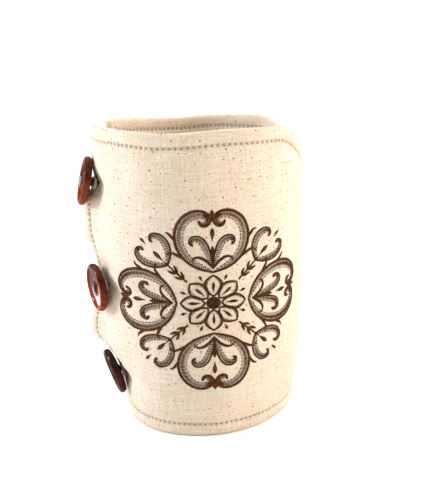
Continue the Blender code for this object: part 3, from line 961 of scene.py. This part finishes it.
def make_topstitching(context):
    """A row of lockstitch along the four sides, on both faces of the wrap."""
    cloth = context.scene.cosy_cloth
    parts = []
    draw = np.random.default_rng(21)
    for outside in (True, False):
        for side in ("top", "hem", "front", "back"):
            azimuth, z = seam_line(side, cloth.inset)
            # Needle holes fall where the cloth's own map says, so the dimples match the thread.
            along = np.maximum.accumulate(level_place(azimuth) if side in ("top", "hem") else z)
            holes = np.arange(math.ceil(along[0] / cloth.stitch), math.floor(along[-1] / cloth.stitch) + 1)
            at = holes * cloth.stitch
            places = np.stack([np.interp(at, along, azimuth), np.interp(at, along, z)], axis=1)
            slant = draw.uniform(-STITCH_SLANT, STITCH_SLANT, len(places))
            wide = np.array((math.degrees(1.0 / BODY_RADIUS), 1.0))
            way = np.diff(places, axis=0) / wide
            way = way / np.linalg.norm(way, axis=1, keepdims=True)
            off = np.stack([-way[:, 1], way[:, 0]], axis=1) * slant[:-1, None]
            starts = places[:-1] + (HOLE_HALF * way + off) * wide
            ends = places[1:] - (HOLE_HALF * way + off) * wide
            parts.append(stitches_on(
                starts, ends,
                lambda flat, o=outside: face_point(flat[..., 0], flat[..., 1], cloth.inset, o),
                lambda flat, o=outside: face_normal(flat[..., 0], flat[..., 1], cloth.inset, o),
                cloth.stitch_thread, rings=7, sides=8, sink=1.3, rise=0.75))
    points, faces, uv = join_parts(parts)
    mat = thread_material("natural_topstitch_thread", cloth.thread, toned(cloth.thread, 1.35), 0.72, 0.0006)
    ride(mesh_object("topstitching", points, faces, mat, maps={"thread": uv}), "linen")


# ---- embroidery -------------------------------------------------------------------------------
# The medallion is drawn flat, in medallion radii, with Y up.  Its motifs are a petalled rosette,
# hearts of paired scrolls on the four sides, and leafy sprigs with tendrils between them.

LINE_STEPS = 260             # points of a drawn line before it is shared out into stitches
SATIN_PITCH = 0.00034        # between stitches that lie side by side
COMB_PITCH = 0.00099         # between the teeth of a combed band
RUN_LENGTH = 0.0019          # of a stitch along a fine line
SHORTEST_SATIN = 0.00012     # half the length of a stitch worth making
SHORTEST_TOOTH = 0.00035
SATIN_SLANT = 0.35           # lean along the line, for each unit across it
COMB_SLANT = 0.18
BUD_BASE = 0.00025           # width of a bud where it starts
TIP_STEP = 0.0006            # between points of the line through a comb's tips
STITCH_OFF = 0.00007         # how far a stitch's end strays, each way
RUN_OFF = 0.00004            # and on a fine line


def bend_line(start, heading, long, *bends):
    """A line that leaves start at a heading in degrees.

    bends are (share of its length, bend) in turns per unit length, to the left if positive."""
    t = np.linspace(0.0, 1.0, LINE_STEPS)
    bend = np.interp(t, [share for share, _ in bends], [value for _, value in bends])
    step = long / (LINE_STEPS - 1)
    turn = np.concatenate([[0.0], np.cumsum(0.5 * (bend[1:] + bend[:-1]) * step)])
    way = math.radians(heading) + 2.0 * math.pi * turn
    dx = np.concatenate([[0.0], np.cumsum(np.cos(0.5 * (way[1:] + way[:-1])) * step)])
    dy = np.concatenate([[0.0], np.cumsum(np.sin(0.5 * (way[1:] + way[:-1])) * step)])
    return np.stack([start[0] + dx, start[1] + dy], axis=1)


def petal_line(start, first, second, finish, count=120):
    """A smooth curve pulled towards two points on its way."""
    t = np.linspace(0.0, 1.0, count)[:, None]
    start, first, second, finish = (np.array(p, float) for p in (start, first, second, finish))
    return ((1.0 - t) ** 3 * start + 3.0 * (1.0 - t) ** 2 * t * first + 3.0 * (1.0 - t) * t ** 2 * second
            + t ** 3 * finish)


def turned(line, degrees, mirror=False):
    """A line turned about the medallion's middle, after mirroring it left to right if asked."""
    line = np.asarray(line, float) * ((-1.0, 1.0) if mirror else (1.0, 1.0))
    a = math.radians(degrees)
    return line @ np.array(((math.cos(a), math.sin(a)), (-math.sin(a), math.cos(a))))


def leaf_width(peak, power, widest):
    """Width along a leaf or band: 0 at both ends, widest at the share peak."""
    skew = math.log(0.5) / math.log(peak)
    return lambda share: widest * np.sin(np.pi * np.clip(share, 0.0, 1.0) ** skew) ** power


def taper(width, loss):
    """Width of a line that gets thinner to its end."""
    return lambda share: width - loss * share


def swelling(width, gain):
    """Width of a line that is fuller in its middle."""
    return lambda share: width + gain * np.sin(np.pi * share) ** 0.5


def shared_out(line, pitch):
    """Even places along a line: points, left-hand normals, and share of its length."""
    steps = np.linalg.norm(np.diff(line, axis=0), axis=1)
    along = np.concatenate([[0.0], np.cumsum(steps)])
    count = max(3, int(round(along[-1] / pitch)) + 1)
    even = np.linspace(0.0, along[-1], count)
    points = np.stack([np.interp(even, along, line[:, k]) for k in (0, 1)], axis=1)
    way = np.gradient(points, axis=0)
    way /= np.linalg.norm(way, axis=1, keepdims=True)
    return points, np.stack([-way[:, 1], way[:, 0]], axis=1), even / along[-1], way


class Stitching:
    """Collects stitches in flat metres about the medallion's middle."""

    def __init__(self, unit, seed):
        self.unit = np.array(unit)
        self.starts = []
        self.ends = []
        self.draw = np.random.default_rng(seed)

    def lay(self, starts, ends, jitter=STITCH_OFF):
        shape = starts.shape
        self.starts.append(starts + self.draw.uniform(-jitter, jitter, shape))
        self.ends.append(ends + self.draw.uniform(-jitter, jitter, shape))

    def run(self, line):
        """A fine line of stitches end to end."""
        points, _, _, _ = shared_out(line * self.unit, RUN_LENGTH)
        self.lay(points[:-1], points[1:], RUN_OFF)

    def satin(self, line, width, slant=SATIN_SLANT):
        """Stitches side by side across a line. width is in metres, or a function of the share."""
        points, normal, share, way = shared_out(line * self.unit, SATIN_PITCH)
        half = 0.5 * (width(share) if callable(width) else np.full(len(share), width))
        lean = normal + slant * way
        lean /= np.linalg.norm(lean, axis=1, keepdims=True)
        keep = half > SHORTEST_SATIN
        self.lay((points - lean * half[:, None])[keep], (points + lean * half[:, None])[keep])

    def comb(self, line, side, depth):
        """Teeth on one side of a line. side is +1 for its left; depth is a function of the share."""
        points, normal, share, way = shared_out(line * self.unit, COMB_PITCH)
        reach = depth(share)
        lean = side * normal + COMB_SLANT * way
        lean /= np.linalg.norm(lean, axis=1, keepdims=True)
        keep = reach > SHORTEST_TOOTH
        self.lay(points[keep], (points + lean * reach[:, None])[keep])

    def beside(self, line, side, depth):
        """The line through the tips of a comb's teeth."""
        points, normal, share, _ = shared_out(line * self.unit, TIP_STEP)
        return (points + side * normal * depth(share)[:, None]) / self.unit

    def band(self, line, side, depth, width):
        """A combed band: a thick outline, teeth on one side and a fine line along their tips."""
        self.satin(line, width)
        self.comb(line, side, depth)
        self.run(self.beside(line, side, depth))

    def bud(self, base, heading, long, width):
        """A filled teardrop, narrow at its base."""
        line = bend_line(base, heading, long, (0.0, 0.0), (1.0, 0.0))
        self.satin(line, lambda share: width * np.sin(np.pi * share ** 1.6) ** 0.8 + BUD_BASE, 0.0)


def rosette(work, turn):
    """Eight combed petals round a filled boss, with a seed between each two."""
    for k in range(8):
        at = turn + 45.0 * k
        for mirror in (False, True):
            petal = petal_line((0.0, 0.085), (0.105, 0.150), (0.135, 0.265), (0.0, 0.335))
            petal = turned(petal, at, mirror)
            work.satin(petal, 0.00120)
            work.comb(petal, -1.0 if mirror else 1.0, leaf_width(0.5, 0.6, 0.0016))
        work.bud(turned((0.0, 0.13), at), 90.0 + at, 0.125, 0.0017)
        work.bud(turned((0.0, 0.30), at + 22.5), 112.5 + at, 0.060, 0.0016)
    for radius in (0.012, 0.030, 0.048, 0.066):
        bend = 0.5 / (math.pi * radius)
        work.satin(bend_line((radius, 0.0), 90.0, 1.0 / bend, (0.0, bend), (1.0, bend)), 0.0011)


def heart(work, turn):
    """A heart of two combed scrolls, with a plume in each half and shoots on its back."""
    for mirror in (False, True):
        side = -1.0 if mirror else 1.0
        back = bend_line((0.0, 0.375), 14.0, 1.42,
                         (0.0, 0.05), (0.12, 0.38), (0.5, 0.42), (0.72, 0.80), (0.86, 1.9), (1.0, 3.6))
        scroll = turned(back, turn, mirror)
        work.band(scroll, side, leaf_width(0.48, 0.6, 0.0042), swelling(0.0011, 0.0008))
        work.satin(scroll[-40:], leaf_width(0.6, 0.7, 0.0022))

        plume = bend_line((0.0, 0.42), 87.0, 0.62, (0.0, -0.05), (0.45, -0.32), (0.65, -1.5), (1.0, -3.6))
        plume = turned(plume, turn, mirror)
        work.band(plume, -side, leaf_width(0.5, 0.6, 0.0030), taper(0.0013, 0.0004))
        work.satin(plume[-34:], leaf_width(0.6, 0.7, 0.0016))
        leaf = bend_line((0.0, 0.415), 62.0, 0.30, (0.0, -0.2), (0.5, -0.8), (1.0, -4.2))
        work.satin(turned(leaf, turn, mirror), leaf_width(0.45, 0.6, 0.0021), 0.5)

        for share, away, long in ((0.235, 16.0, 0.22), (0.40, 24.0, 0.15)):
            at = int(share * (LINE_STEPS - 1))
            way = back[at + 1] - back[at - 1]
            heading = math.degrees(math.atan2(way[1], way[0])) - away
            shoot = bend_line(back[at], heading, long, (0.0, 0.3), (0.45, -0.4), (1.0, -4.4))
            work.satin(turned(shoot, turn, mirror), leaf_width(0.45, 0.6, 0.0020), 0.5)
        work.bud(turned((0.020, 0.985), turn, mirror), 90.0 + turn - 44.0 * side, 0.10, 0.0019)
    for base, long, width in ((0.53, 0.15, 0.0020), (0.74, 0.15, 0.0026), (0.965, 0.135, 0.0025)):
        work.bud(turned((0.0, base), turn), 90.0 + turn, long, width)


def sprig(work, turn):
    """A stem with two pairs of leaves, that opens into two combed plumes round a bud."""
    stem = turned(np.stack([np.zeros(40), np.linspace(0.375, 0.70, 40)], axis=1), turn)
    work.satin(stem, taper(0.0014, 0.0004))
    for mirror in (False, True):
        side = -1.0 if mirror else 1.0
        for start, long, width in ((0.42, 0.10, 0.0020), (0.51, 0.11, 0.0022)):
            leaf = turned(bend_line((0.0, start), 52.0, long, (0.0, 0.2), (1.0, 1.6)), turn, mirror)
            work.satin(leaf, leaf_width(0.42, 0.8, width), 0.5)
        plume = bend_line((0.0, 0.65), 20.0, 0.62, (0.0, 0.35), (0.45, 0.65), (0.7, 1.3), (1.0, 4.2))
        plume = turned(plume, turn, mirror)
        work.band(plume, side, leaf_width(0.45, 0.65, 0.0030), taper(0.0014, 0.0004))
        work.satin(plume[-30:], leaf_width(0.6, 0.7, 0.0016))
    work.bud(turned((0.0, 0.715), turn), 90.0 + turn, 0.15, 0.0026)
    work.bud(turned((0.0, 0.985), turn), 90.0 + turn, 0.085, 0.0018)


def make_embroidery(context):
    """The medallion: its rosette, its hearts and its sprigs are a piece each."""
    settings = context.scene.cosy_embroidery
    inset = context.scene.cosy_cloth.inset
    wide = math.degrees(1.0 / (BODY_RADIUS + BELLY))

    def to_wrap(flat):
        return settings.azimuth + flat[..., 0] * wide, settings.height + flat[..., 1]

    mat = thread_material("brown_embroidery_thread", settings.brown, settings.brown_light,
                          0.62, 0.0005, 0.0, 0.08)
    drawn = (
        ("embroidery_rosette", rosette, (0.0,)),
        ("embroidery_hearts", heart, (0.0, 90.0, 180.0, 270.0)),
        ("embroidery_sprigs", sprig, (45.0, 135.0, 225.0, 315.0)),
    )
    for seed, (name, motif, turns) in enumerate(drawn):
        work = Stitching((settings.half_width, settings.half_height), 40 + seed)
        for turn in turns:
            motif(work, turn)
        points, faces, uv = stitches_on(
            np.concatenate(work.starts), np.concatenate(work.ends),
            lambda flat: face_point(*to_wrap(flat), inset),
            lambda flat: face_normal(*to_wrap(flat), inset),
            settings.thread)
        ride(mesh_object(name, points, faces, mat, maps={"thread": uv}), "brown_thread")


# ---- buttons ----------------------------------------------------------------------------------

BUTTON_TURNS = 120           # segments of a turned button
HOLE_RADIUS = 0.00125
HOLE_SPACING = 0.0050
DISH = 0.0011                # depth of the face below the rim
RIM_FALL = 0.0020            # from the top of the rim down to the face
BACK_DOME = 0.0006
BUTTON_EDGE = 0.0015         # rounding of the rim
HOLE_EDGE = 0.00035          # rounding of each hole's mouth
HOLE_SIDES = 32


def cad_point(azimuth, z):
    """A point of the wrap's plain outer face."""
    return Vector(around(azimuth, outer_radius(azimuth, z), z))


def cad_normal(azimuth, z):
    along = cad_point(azimuth + 0.5, z) - cad_point(azimuth - 0.5, z)
    up = cad_point(azimuth, z + 0.0008) - cad_point(azimuth, z - 0.0008)
    return along.cross(up).normalized()


def button_frame(row):
    """Where a button hangs on its thread: origin on the cloth, Z through its face, Y up it."""
    face = math.radians(row["face_azimuth"])
    up = math.radians(row["face_up"])
    out = Vector((math.sin(face) * math.cos(up), -math.cos(face) * math.cos(up), math.sin(up)))
    across = Vector((0.0, 0.0, 1.0)).cross(out).normalized()
    matrix = Matrix((across, out.cross(across), out)).transposed().to_4x4()
    matrix.translation = cad_point(row["azimuth"], row["z"])
    return matrix


def button_outline(radius, thick):
    """(radius, height) round a turned button, from the middle of its back to its face."""
    back = [(radius * 0.55, 0.0), (radius * 0.70, 0.08 * BACK_DOME), (radius * 0.84, 0.45 * BACK_DOME)]
    crest = radius - BUTTON_EDGE
    middle = 0.5 * (thick + BACK_DOME)
    side = []
    for degrees in range(-70, 91, 10):
        a = math.radians(degrees)
        side.append((crest + BUTTON_EDGE * math.cos(a), middle + (thick - middle) * math.sin(a)))
    inner = []
    for share in (0.10, 0.22, 0.36, 0.50, 0.64, 0.78, 0.90, 1.0):
        fall = 0.5 - 0.5 * math.cos(math.pi * share)
        inner.append((crest - RIM_FALL * share, thick - 0.85 * DISH * fall))
    flat = [(radius * 0.55, thick - 0.96 * DISH), (radius * 0.45, thick - DISH)]
    return back + side + inner + flat


def make_button(row, settings):
    """A turned disc with two sewing holes, their mouths rounded off."""
    bm = bmesh.new()

    def ring(radius, z, count, y=0.0):
        return [bm.verts.new((radius * math.cos(t), y + radius * math.sin(t), z))
                for t in (2.0 * math.pi * i / count for i in range(count))]

    def bridge(low, high):
        for i in range(len(low)):
            j = (i + 1) % len(low)
            bm.faces.new((low[i], low[j], high[j], high[i]))

    def fill(rings):
        edges = []
        for loop in rings:
            for first, second in zip(loop, loop[1:] + loop[:1]):
                edges.append(bm.edges.get((first, second)) or bm.edges.new((first, second)))
        bmesh.ops.triangle_fill(bm, use_beauty=True, use_dissolve=False, edges=edges)

    rings = [ring(r, z, BUTTON_TURNS) for r, z in button_outline(settings.radius, settings.thick)]
    for low, high in zip(rings, rings[1:]):
        bridge(low, high)
    face = settings.thick - DISH
    mouths = {"low": [], "high": []}
    for y in (-0.5 * HOLE_SPACING, 0.5 * HOLE_SPACING):
        wall = []
        for degrees in (90, 60, 30, 0):
            a = math.radians(degrees)
            wall.append((HOLE_RADIUS + HOLE_EDGE * (1.0 - math.cos(a)), HOLE_EDGE * (1.0 - math.sin(a))))
        profile = wall + [(r, face - z) for r, z in reversed(wall)]
        hole = [ring(r, z, HOLE_SIDES, y) for r, z in profile]
        for low, high in zip(hole, hole[1:]):
            bridge(low, high)
        mouths["low"].append(hole[0])
        mouths["high"].append(hole[-1])
    fill([rings[0]] + mouths["low"])
    fill([rings[-1]] + mouths["high"])
    bmesh.ops.recalc_face_normals(bm, faces=bm.faces)
    name = "wooden_button_" + row["name"]
    mesh = bpy.data.meshes.new(name)
    bm.to_mesh(mesh)
    bm.free()
    mesh.shade_smooth()
    mesh.set_sharp_from_angle(angle=math.radians(40.0))
    mesh.materials.append(wood_material(row, settings))
    obj = bpy.data.objects.new(name, mesh)
    bpy.context.scene.collection.objects.link(obj)
    obj.matrix_world = button_frame(row) @ Matrix.Translation((0.0, 0.0, row["room"]))
    return ride(obj, "button_wood", "button_" + row["name"])


# ---- the buttons' thread ----------------------------------------------------------------------

STRAND = 0.00030             # radius of one strand of sewing thread
STRAND_STEPS = 60            # rings along a strand
STRAND_SIDES = 10
TURN_STEPS = 22              # rings of each turn round the stem
STEM_RADIUS = 0.0013
CORE_RADIUS = 0.00105        # the strands inside the stem, taken as one
WOUND_RADIUS = 0.0012        # of the turns round them, to the middle of the strand,
COLLAR_SPREAD = 0.0010       # which spread out under the button
FOOT_SPREAD = 0.0003         # and a little on the cloth
STEM_FOOT = -0.0006          # the stem starts inside the cloth

# Strands over the face of a button: how far to one side each lies, and how far above the lowest.
FACE_STRANDS = ((-0.00062, 0.0), (-0.00021, 0.00008), (0.00021, 0.00005), (0.00062, 0.0),
                (-0.00040, 0.00042), (0.00002, 0.00050), (0.00042, 0.00040))


def strand_route(row, settings, offset, level):
    """One strand over the face, down both holes and into the collar."""
    half = 0.5 * HOLE_SPACING
    face = row["room"] + settings.thick - DISH
    low = row["room"] - 0.0005
    high = face + STRAND + level
    reach = half - 0.45 * HOLE_RADIUS
    return [(offset * 0.5, -half * 0.86, low), (offset * 0.8, -half, row["room"] + 0.001),
            (offset, -half + 0.0001, face - 0.0004), (offset, -reach, high - 0.00025),
            (offset * 1.15, -0.5 * reach, high), (offset * 1.2, 0.0, high + 0.00006),
            (offset * 1.15, 0.5 * reach, high), (offset, reach, high - 0.00025),
            (offset, half - 0.0001, face - 0.0004),
            (offset * 0.8, half, row["room"] + 0.001), (offset * 0.5, half * 0.86, low)]


def make_button_thread(row, settings, mat):
    """Strands over the face and through the holes, and turns wound round the stem below."""
    parts = []
    for offset, level in FACE_STRANDS:
        line = smooth_line(strand_route(row, settings, offset, level), STRAND_STEPS)
        parts.append(rings_to_tube(round_tube(line, STRAND, STRAND_SIDES)))
    collar = row["room"] - 2.0 * STRAND
    core = np.stack([np.zeros(8), np.zeros(8), np.linspace(STEM_FOOT, collar, 8)], axis=1)
    parts.append(rings_to_tube(round_tube(core, CORE_RADIUS, 16)))
    turns = (collar - STEM_FOOT) / (1.9 * STRAND)
    t = np.linspace(0.0, 1.0, int(turns * TURN_STEPS))
    swell = (WOUND_RADIUS + COLLAR_SPREAD * smooth_step((t - 0.82) / 0.18)
             + FOOT_SPREAD * smooth_step((0.15 - t) / 0.15))
    wound = np.stack([swell * np.cos(2.0 * np.pi * turns * t), swell * np.sin(2.0 * np.pi * turns * t),
                      STEM_FOOT + (collar - STEM_FOOT) * t], axis=1)
    parts.append(rings_to_tube(round_tube(wound, STRAND * 1.05, 8)))
    points, faces, uv = join_parts(parts)
    obj = mesh_object("button_thread_" + row["name"], points, faces, mat, maps={"thread": uv})
    obj.matrix_world = button_frame(row)
    return ride(obj, "brown_thread", "thread_" + row["name"])


# ---- loops ------------------------------------------------------------------------------------

LOOP_RADIUS = 0.00075
LOOP_GAP = 0.0003            # clearance off the cloth and the stem
LOOP_SPARE = 0.0005          # extra room, because the cloth dips where a button is sewn on
LOOP_TURN_SPARE = 0.0006     # and more where the loop turns round the stem in that dip
LOOP_END_GAP = 0.0009        # a loop meets the hidden end at a slant, so its middle stops short
DROP_ON_CLOTH = 0.02         # share of a loop's drop before it leaves the front free edge
LOOP_STEPS = 420             # rings along a loop
BRAID_SIDES = 24
BRAID_CARRIERS = 6           # braided ends that run each way round the cord
BRAID_PITCH = 0.0042         # along the cord, for one end to go once round
BRAID_RELIEF = 0.00010
LOOP_TUCK = 0.0022           # length of each end that runs into the hidden edge


def loop_route(row):
    """Middle line of a loop: from the hidden end across the opening, over the front free edge,
    round the button's thread and back the same way."""
    lift = LOOP_RADIUS + LOOP_GAP + LOOP_SPARE
    spread = STEM_RADIUS + LOOP_RADIUS + LOOP_GAP + LOOP_SPARE
    near = LOOP_RADIUS + LOOP_SPARE
    edge = float(front_edge(row["z"]))

    def end(side):
        z = row["z"] - row["drop"] + side * near
        beyond = FREE_EDGE_BACK + math.degrees(LOOP_END_GAP / BODY_RADIUS)
        return Vector(around(beyond, outer_radius(FREE_EDGE_BACK, z) - CLOTH / 2.0, z))

    def over_cloth(share, side):
        azimuth = edge + (row["azimuth"] - edge) * share
        z = row["z"] - row["drop"] * DROP_ON_CLOTH * (1.0 - share) + side * (near + (spread - near) * share)
        return cad_point(azimuth, z) + lift * cad_normal(azimuth, z)

    def half_loop(side):
        on_cloth = [over_cloth(share, side) for share in (0.0, 0.3, 0.6)]
        first = end(side)
        tucked = first - LOOP_TUCK * (on_cloth[0] - first).normalized()
        return [tucked, first, first.lerp(on_cloth[0], 0.5)] + on_cloth

    out = cad_normal(row["azimuth"], row["z"])
    across = Vector((0.0, 0.0, 1.0)).cross(out).normalized()
    middle = button_frame(row) @ Vector((0.0, 0.0, lift + LOOP_TURN_SPARE))
    turn = [middle + spread * (across * math.sin(t) + out.cross(across) * math.cos(t))
            for t in (math.radians(d) for d in range(0, 181, 30))]
    return [tuple(p) for p in half_loop(1.0) + turn + list(reversed(half_loop(-1.0)))]


def braid_radii(line, sides):
    """Radius of a braided cord round each ring: ends cross over and under in both directions."""
    steps = np.linalg.norm(np.diff(line, axis=0), axis=1)
    along = np.concatenate([[0.0], np.cumsum(steps)])[:, None] / BRAID_PITCH
    about = (np.arange(sides) / sides)[None, :]
    right = BRAID_CARRIERS * (about + along)
    left = BRAID_CARRIERS * (about - along)
    over = 0.5 + 0.5 * np.cos(np.pi * (right + left)) * np.cos(np.pi * (right - left))
    ridge_right = np.abs(np.cos(np.pi * right)) ** 0.7
    ridge_left = np.abs(np.cos(np.pi * left)) ** 0.7
    return LOOP_RADIUS - BRAID_RELIEF + BRAID_RELIEF * (over * ridge_right + (1.0 - over) * ridge_left)


def make_loop(row, mat):
    line = smooth_line(loop_route(row), LOOP_STEPS)
    points, faces, uv = rings_to_tube(round_tube(line, braid_radii(line, BRAID_SIDES), BRAID_SIDES))
    obj = mesh_object("elastic_loop_" + row["name"], points, faces, mat, maps={"thread": uv})
    return ride(obj, "loop_elastic", "loop_" + row["name"])


# ---- stage ------------------------------------------------------------------------------------

FLOOR_RADIUS = 6.0
EYE = (0.0, -0.366, 0.189)
EYE_PITCH = 15.0             # degrees below level
EYE_YAW = 1.8                # degrees to the right of +Y
EYE_ROLL = -1.0
LENS = 48.72                 # millimetres, on a film 36 mm along its longer side
FILM = 36.0

AIM = (0.0, 0.0, 0.08)       # middle of the cosy
WINDOW = {"place": (-0.86, 0.03, 0.36), "target": AIM, "size": (0.18, 0.42), "tint": (0.76, 0.88, 1.0)}
LAMP = {"place": (0.85, -0.12, 0.45), "target": AIM, "size": (0.60, 0.60), "tint": (1.0, 0.93, 0.84)}
GLINT = {"place": (-0.142, 0.083, 0.016), "target": (-0.058, -0.030, 0.070), "size": (0.012, 0.014),
         "tint": (0.72, 0.78, 1.0)}
OVERHEAD_TINT = (1.0, 0.985, 0.965)
OVERHEAD_SPREAD = 100.0      # degrees
OVERHEAD_TILT = -12.0        # degrees: it comes a little from behind
ROOM_TINT = (1.0, 0.955, 0.90, 1.0)
DIM_WAY = (-0.51, 0.86)      # way to the room's dim corner, across and back


def make_camera():
    """Looks down on the front of the cosy from close by."""
    data = bpy.data.cameras.new("camera")
    data.sensor_width = FILM
    data.lens = LENS
    data.clip_start = 0.01
    camera = bpy.data.objects.new("camera", data)
    bpy.context.scene.collection.objects.link(camera)
    pitch, yaw, roll = (math.radians(d) for d in (EYE_PITCH, EYE_YAW, EYE_ROLL))
    ahead = Vector((math.sin(yaw) * math.cos(pitch), math.cos(yaw) * math.cos(pitch), -math.sin(pitch)))
    right = Vector((math.cos(yaw), -math.sin(yaw), 0.0))
    up = right.cross(ahead)
    x = right * math.cos(roll) + up * math.sin(roll)
    y = up * math.cos(roll) - right * math.sin(roll)
    matrix = Matrix((x, y, -ahead)).transposed().to_4x4()
    matrix.translation = EYE
    camera.matrix_world = matrix
    bpy.context.scene.camera = camera


def add_light(name, power, place, target, size, tint):
    data = bpy.data.lights.new(name, "AREA")
    data.shape = "RECTANGLE"
    data.size, data.size_y = size
    data.energy = power
    data.color = tint
    light = bpy.data.objects.new(name, data)
    bpy.context.scene.collection.objects.link(light)
    light.location = place
    light.rotation_euler = (Vector(target) - Vector(place)).to_track_quat("-Z", "Y").to_euler()
    return light


def make_room(stage):
    """A bright room: lighter behind the cosy than before it, and white where it is seen itself."""
    world = bpy.data.worlds.new("room")
    bpy.context.scene.world = world
    world.use_nodes = True
    n = Nodes(world.node_tree)
    side, back, up = n.split(n.add("ShaderNodeTexCoord").outputs["Generated"])
    shining = world.node_tree.nodes["Background"]
    shining.inputs["Color"].default_value = ROOM_TINT
    level = n.ramp(back, -0.7, 0.5, stage.room_front, stage.room_back)
    # A dim corner of the room behind the handle side.
    toward = n.math("MULTIPLY_ADD", back, DIM_WAY[1], n.times(side, DIM_WAY[0]))
    corner = n.times(n.ramp(toward, 0.45, 0.90), n.ramp(up, 0.25, 0.75, 1.0, 0.0))
    n.put(n.times(level, n.ramp(corner, 0.0, 1.0, 1.0, stage.room_corner)), shining.inputs["Strength"])
    seen = n.add("ShaderNodeBackground")
    seen.inputs["Color"].default_value = (1.0, 1.0, 1.0, 1.0)
    choice = n.add("ShaderNodeMixShader")
    n.put(n.add("ShaderNodeLightPath").outputs["Is Camera Ray"], choice.inputs[0])
    n.put(shining.outputs[0], choice.inputs[1])
    n.put(seen.outputs[0], choice.inputs[2])
    n.put(choice.outputs[0], world.node_tree.nodes["World Output"].inputs["Surface"])


def make_stage(context):
    """Floor, room, lights and camera."""
    stage = context.scene.cosy_stage
    make_camera()
    turn = 2.0 * np.pi * np.arange(stage.floor_sides) / stage.floor_sides
    rim = FLOOR_RADIUS * np.stack([np.cos(turn), np.sin(turn), np.zeros(stage.floor_sides)], axis=1)
    mesh_object("floor", rim, [tuple(range(stage.floor_sides))], floor_material(stage))
    make_room(stage)
    add_light("window", stage.window, **WINDOW)
    add_light("lamp", stage.lamp, **LAMP)
    add_light("glint_middle", stage.glint, **GLINT).visible_camera = False
    sun = bpy.data.lights.new("overhead", "SUN")
    sun.energy = stage.overhead
    sun.angle = math.radians(OVERHEAD_SPREAD)
    sun.color = OVERHEAD_TINT
    overhead = bpy.data.objects.new("overhead", sun)
    context.scene.collection.objects.link(overhead)
    overhead.rotation_euler = (math.radians(OVERHEAD_TILT), 0.0, 0.0)
    context.scene.view_settings.view_transform = "Standard"


# ---- operators, panel and registration --------------------------------------------------------

class COSY_OT_stage(bpy.types.Operator):
    """Add the floor, the lights and the camera"""

    bl_idname = "cosy.stage"
    bl_label = "Stage"

    def execute(self, context):
        make_stage(context)
        return {"FINISHED"}


class COSY_OT_wrap(bpy.types.Operator):
    """Make the padded linen wrap with its folded edges and stitched borders"""

    bl_idname = "cosy.wrap"
    bl_label = "Linen wrap"

    def execute(self, context):
        make_wrap(context)
        return {"FINISHED"}


class COSY_OT_topstitching(bpy.types.Operator):
    """Sew the line of topstitching round the wrap, on both faces"""

    bl_idname = "cosy.topstitching"
    bl_label = "Topstitching"

    def execute(self, context):
        make_topstitching(context)
        return {"FINISHED"}


class COSY_OT_embroidery(bpy.types.Operator):
    """Embroider the medallion on the front"""

    bl_idname = "cosy.embroidery"
    bl_label = "Embroidery"

    def execute(self, context):
        make_embroidery(context)
        return {"FINISHED"}


class COSY_OT_buttons(bpy.types.Operator):
    """Turn the wooden buttons and sew them on"""

    bl_idname = "cosy.buttons"
    bl_label = "Buttons"

    def execute(self, context):
        settings = context.scene.cosy_buttons
        mat = thread_material("dark_button_thread", settings.sewing, toned(settings.sewing, 2.2), 0.6, 0.0007)
        for row in BUTTONS:
            make_button(row, settings)
            make_button_thread(row, settings, mat)
        return {"FINISHED"}


class COSY_OT_loops(bpy.types.Operator):
    """Lay the elastic loops round the buttons"""

    bl_idname = "cosy.loops"
    bl_label = "Elastic loops"

    def execute(self, context):
        settings = context.scene.cosy_buttons
        light = toned(settings.elastic, 1.3)
        mat = thread_material("natural_elastic_cover", settings.elastic, light, 0.8, 0.0012)
        for row in BUTTONS:
            make_loop(row, mat)
        return {"FINISHED"}


class COSY_PT_panel(bpy.types.Panel):
    """Lists the pieces to make"""

    bl_idname = "COSY_PT_panel"
    bl_label = "Cafetiere cosy"
    bl_space_type = "VIEW_3D"
    bl_region_type = "UI"
    bl_category = "Cosy"

    def draw(self, context):
        for operator in OPERATORS:
            self.layout.operator(operator.bl_idname)


SETTINGS = (
    ("cosy_cloth", ClothSettings),
    ("cosy_embroidery", EmbroiderySettings),
    ("cosy_buttons", ButtonSettings),
    ("cosy_stage", StageSettings),
)
OPERATORS = (COSY_OT_stage, COSY_OT_wrap, COSY_OT_topstitching, COSY_OT_embroidery, COSY_OT_buttons,
             COSY_OT_loops)


def register():
    for name, settings in SETTINGS:
        bpy.utils.register_class(settings)
        setattr(bpy.types.Scene, name, PointerProperty(type=settings))
    for item in (*OPERATORS, COSY_PT_panel):
        bpy.utils.register_class(item)


def unregister():
    for item in reversed((*OPERATORS, COSY_PT_panel)):
        bpy.utils.unregister_class(item)
    for name, settings in reversed(SETTINGS):
        delattr(bpy.types.Scene, name)
        bpy.utils.unregister_class(settings)


def main():
    register()
    bpy.ops.cosy.stage()
    bpy.ops.cosy.wrap()
    bpy.ops.cosy.topstitching()
    bpy.ops.cosy.embroidery()
    bpy.ops.cosy.buttons()
    bpy.ops.cosy.loops()


if __name__ == "__main__":
    main()
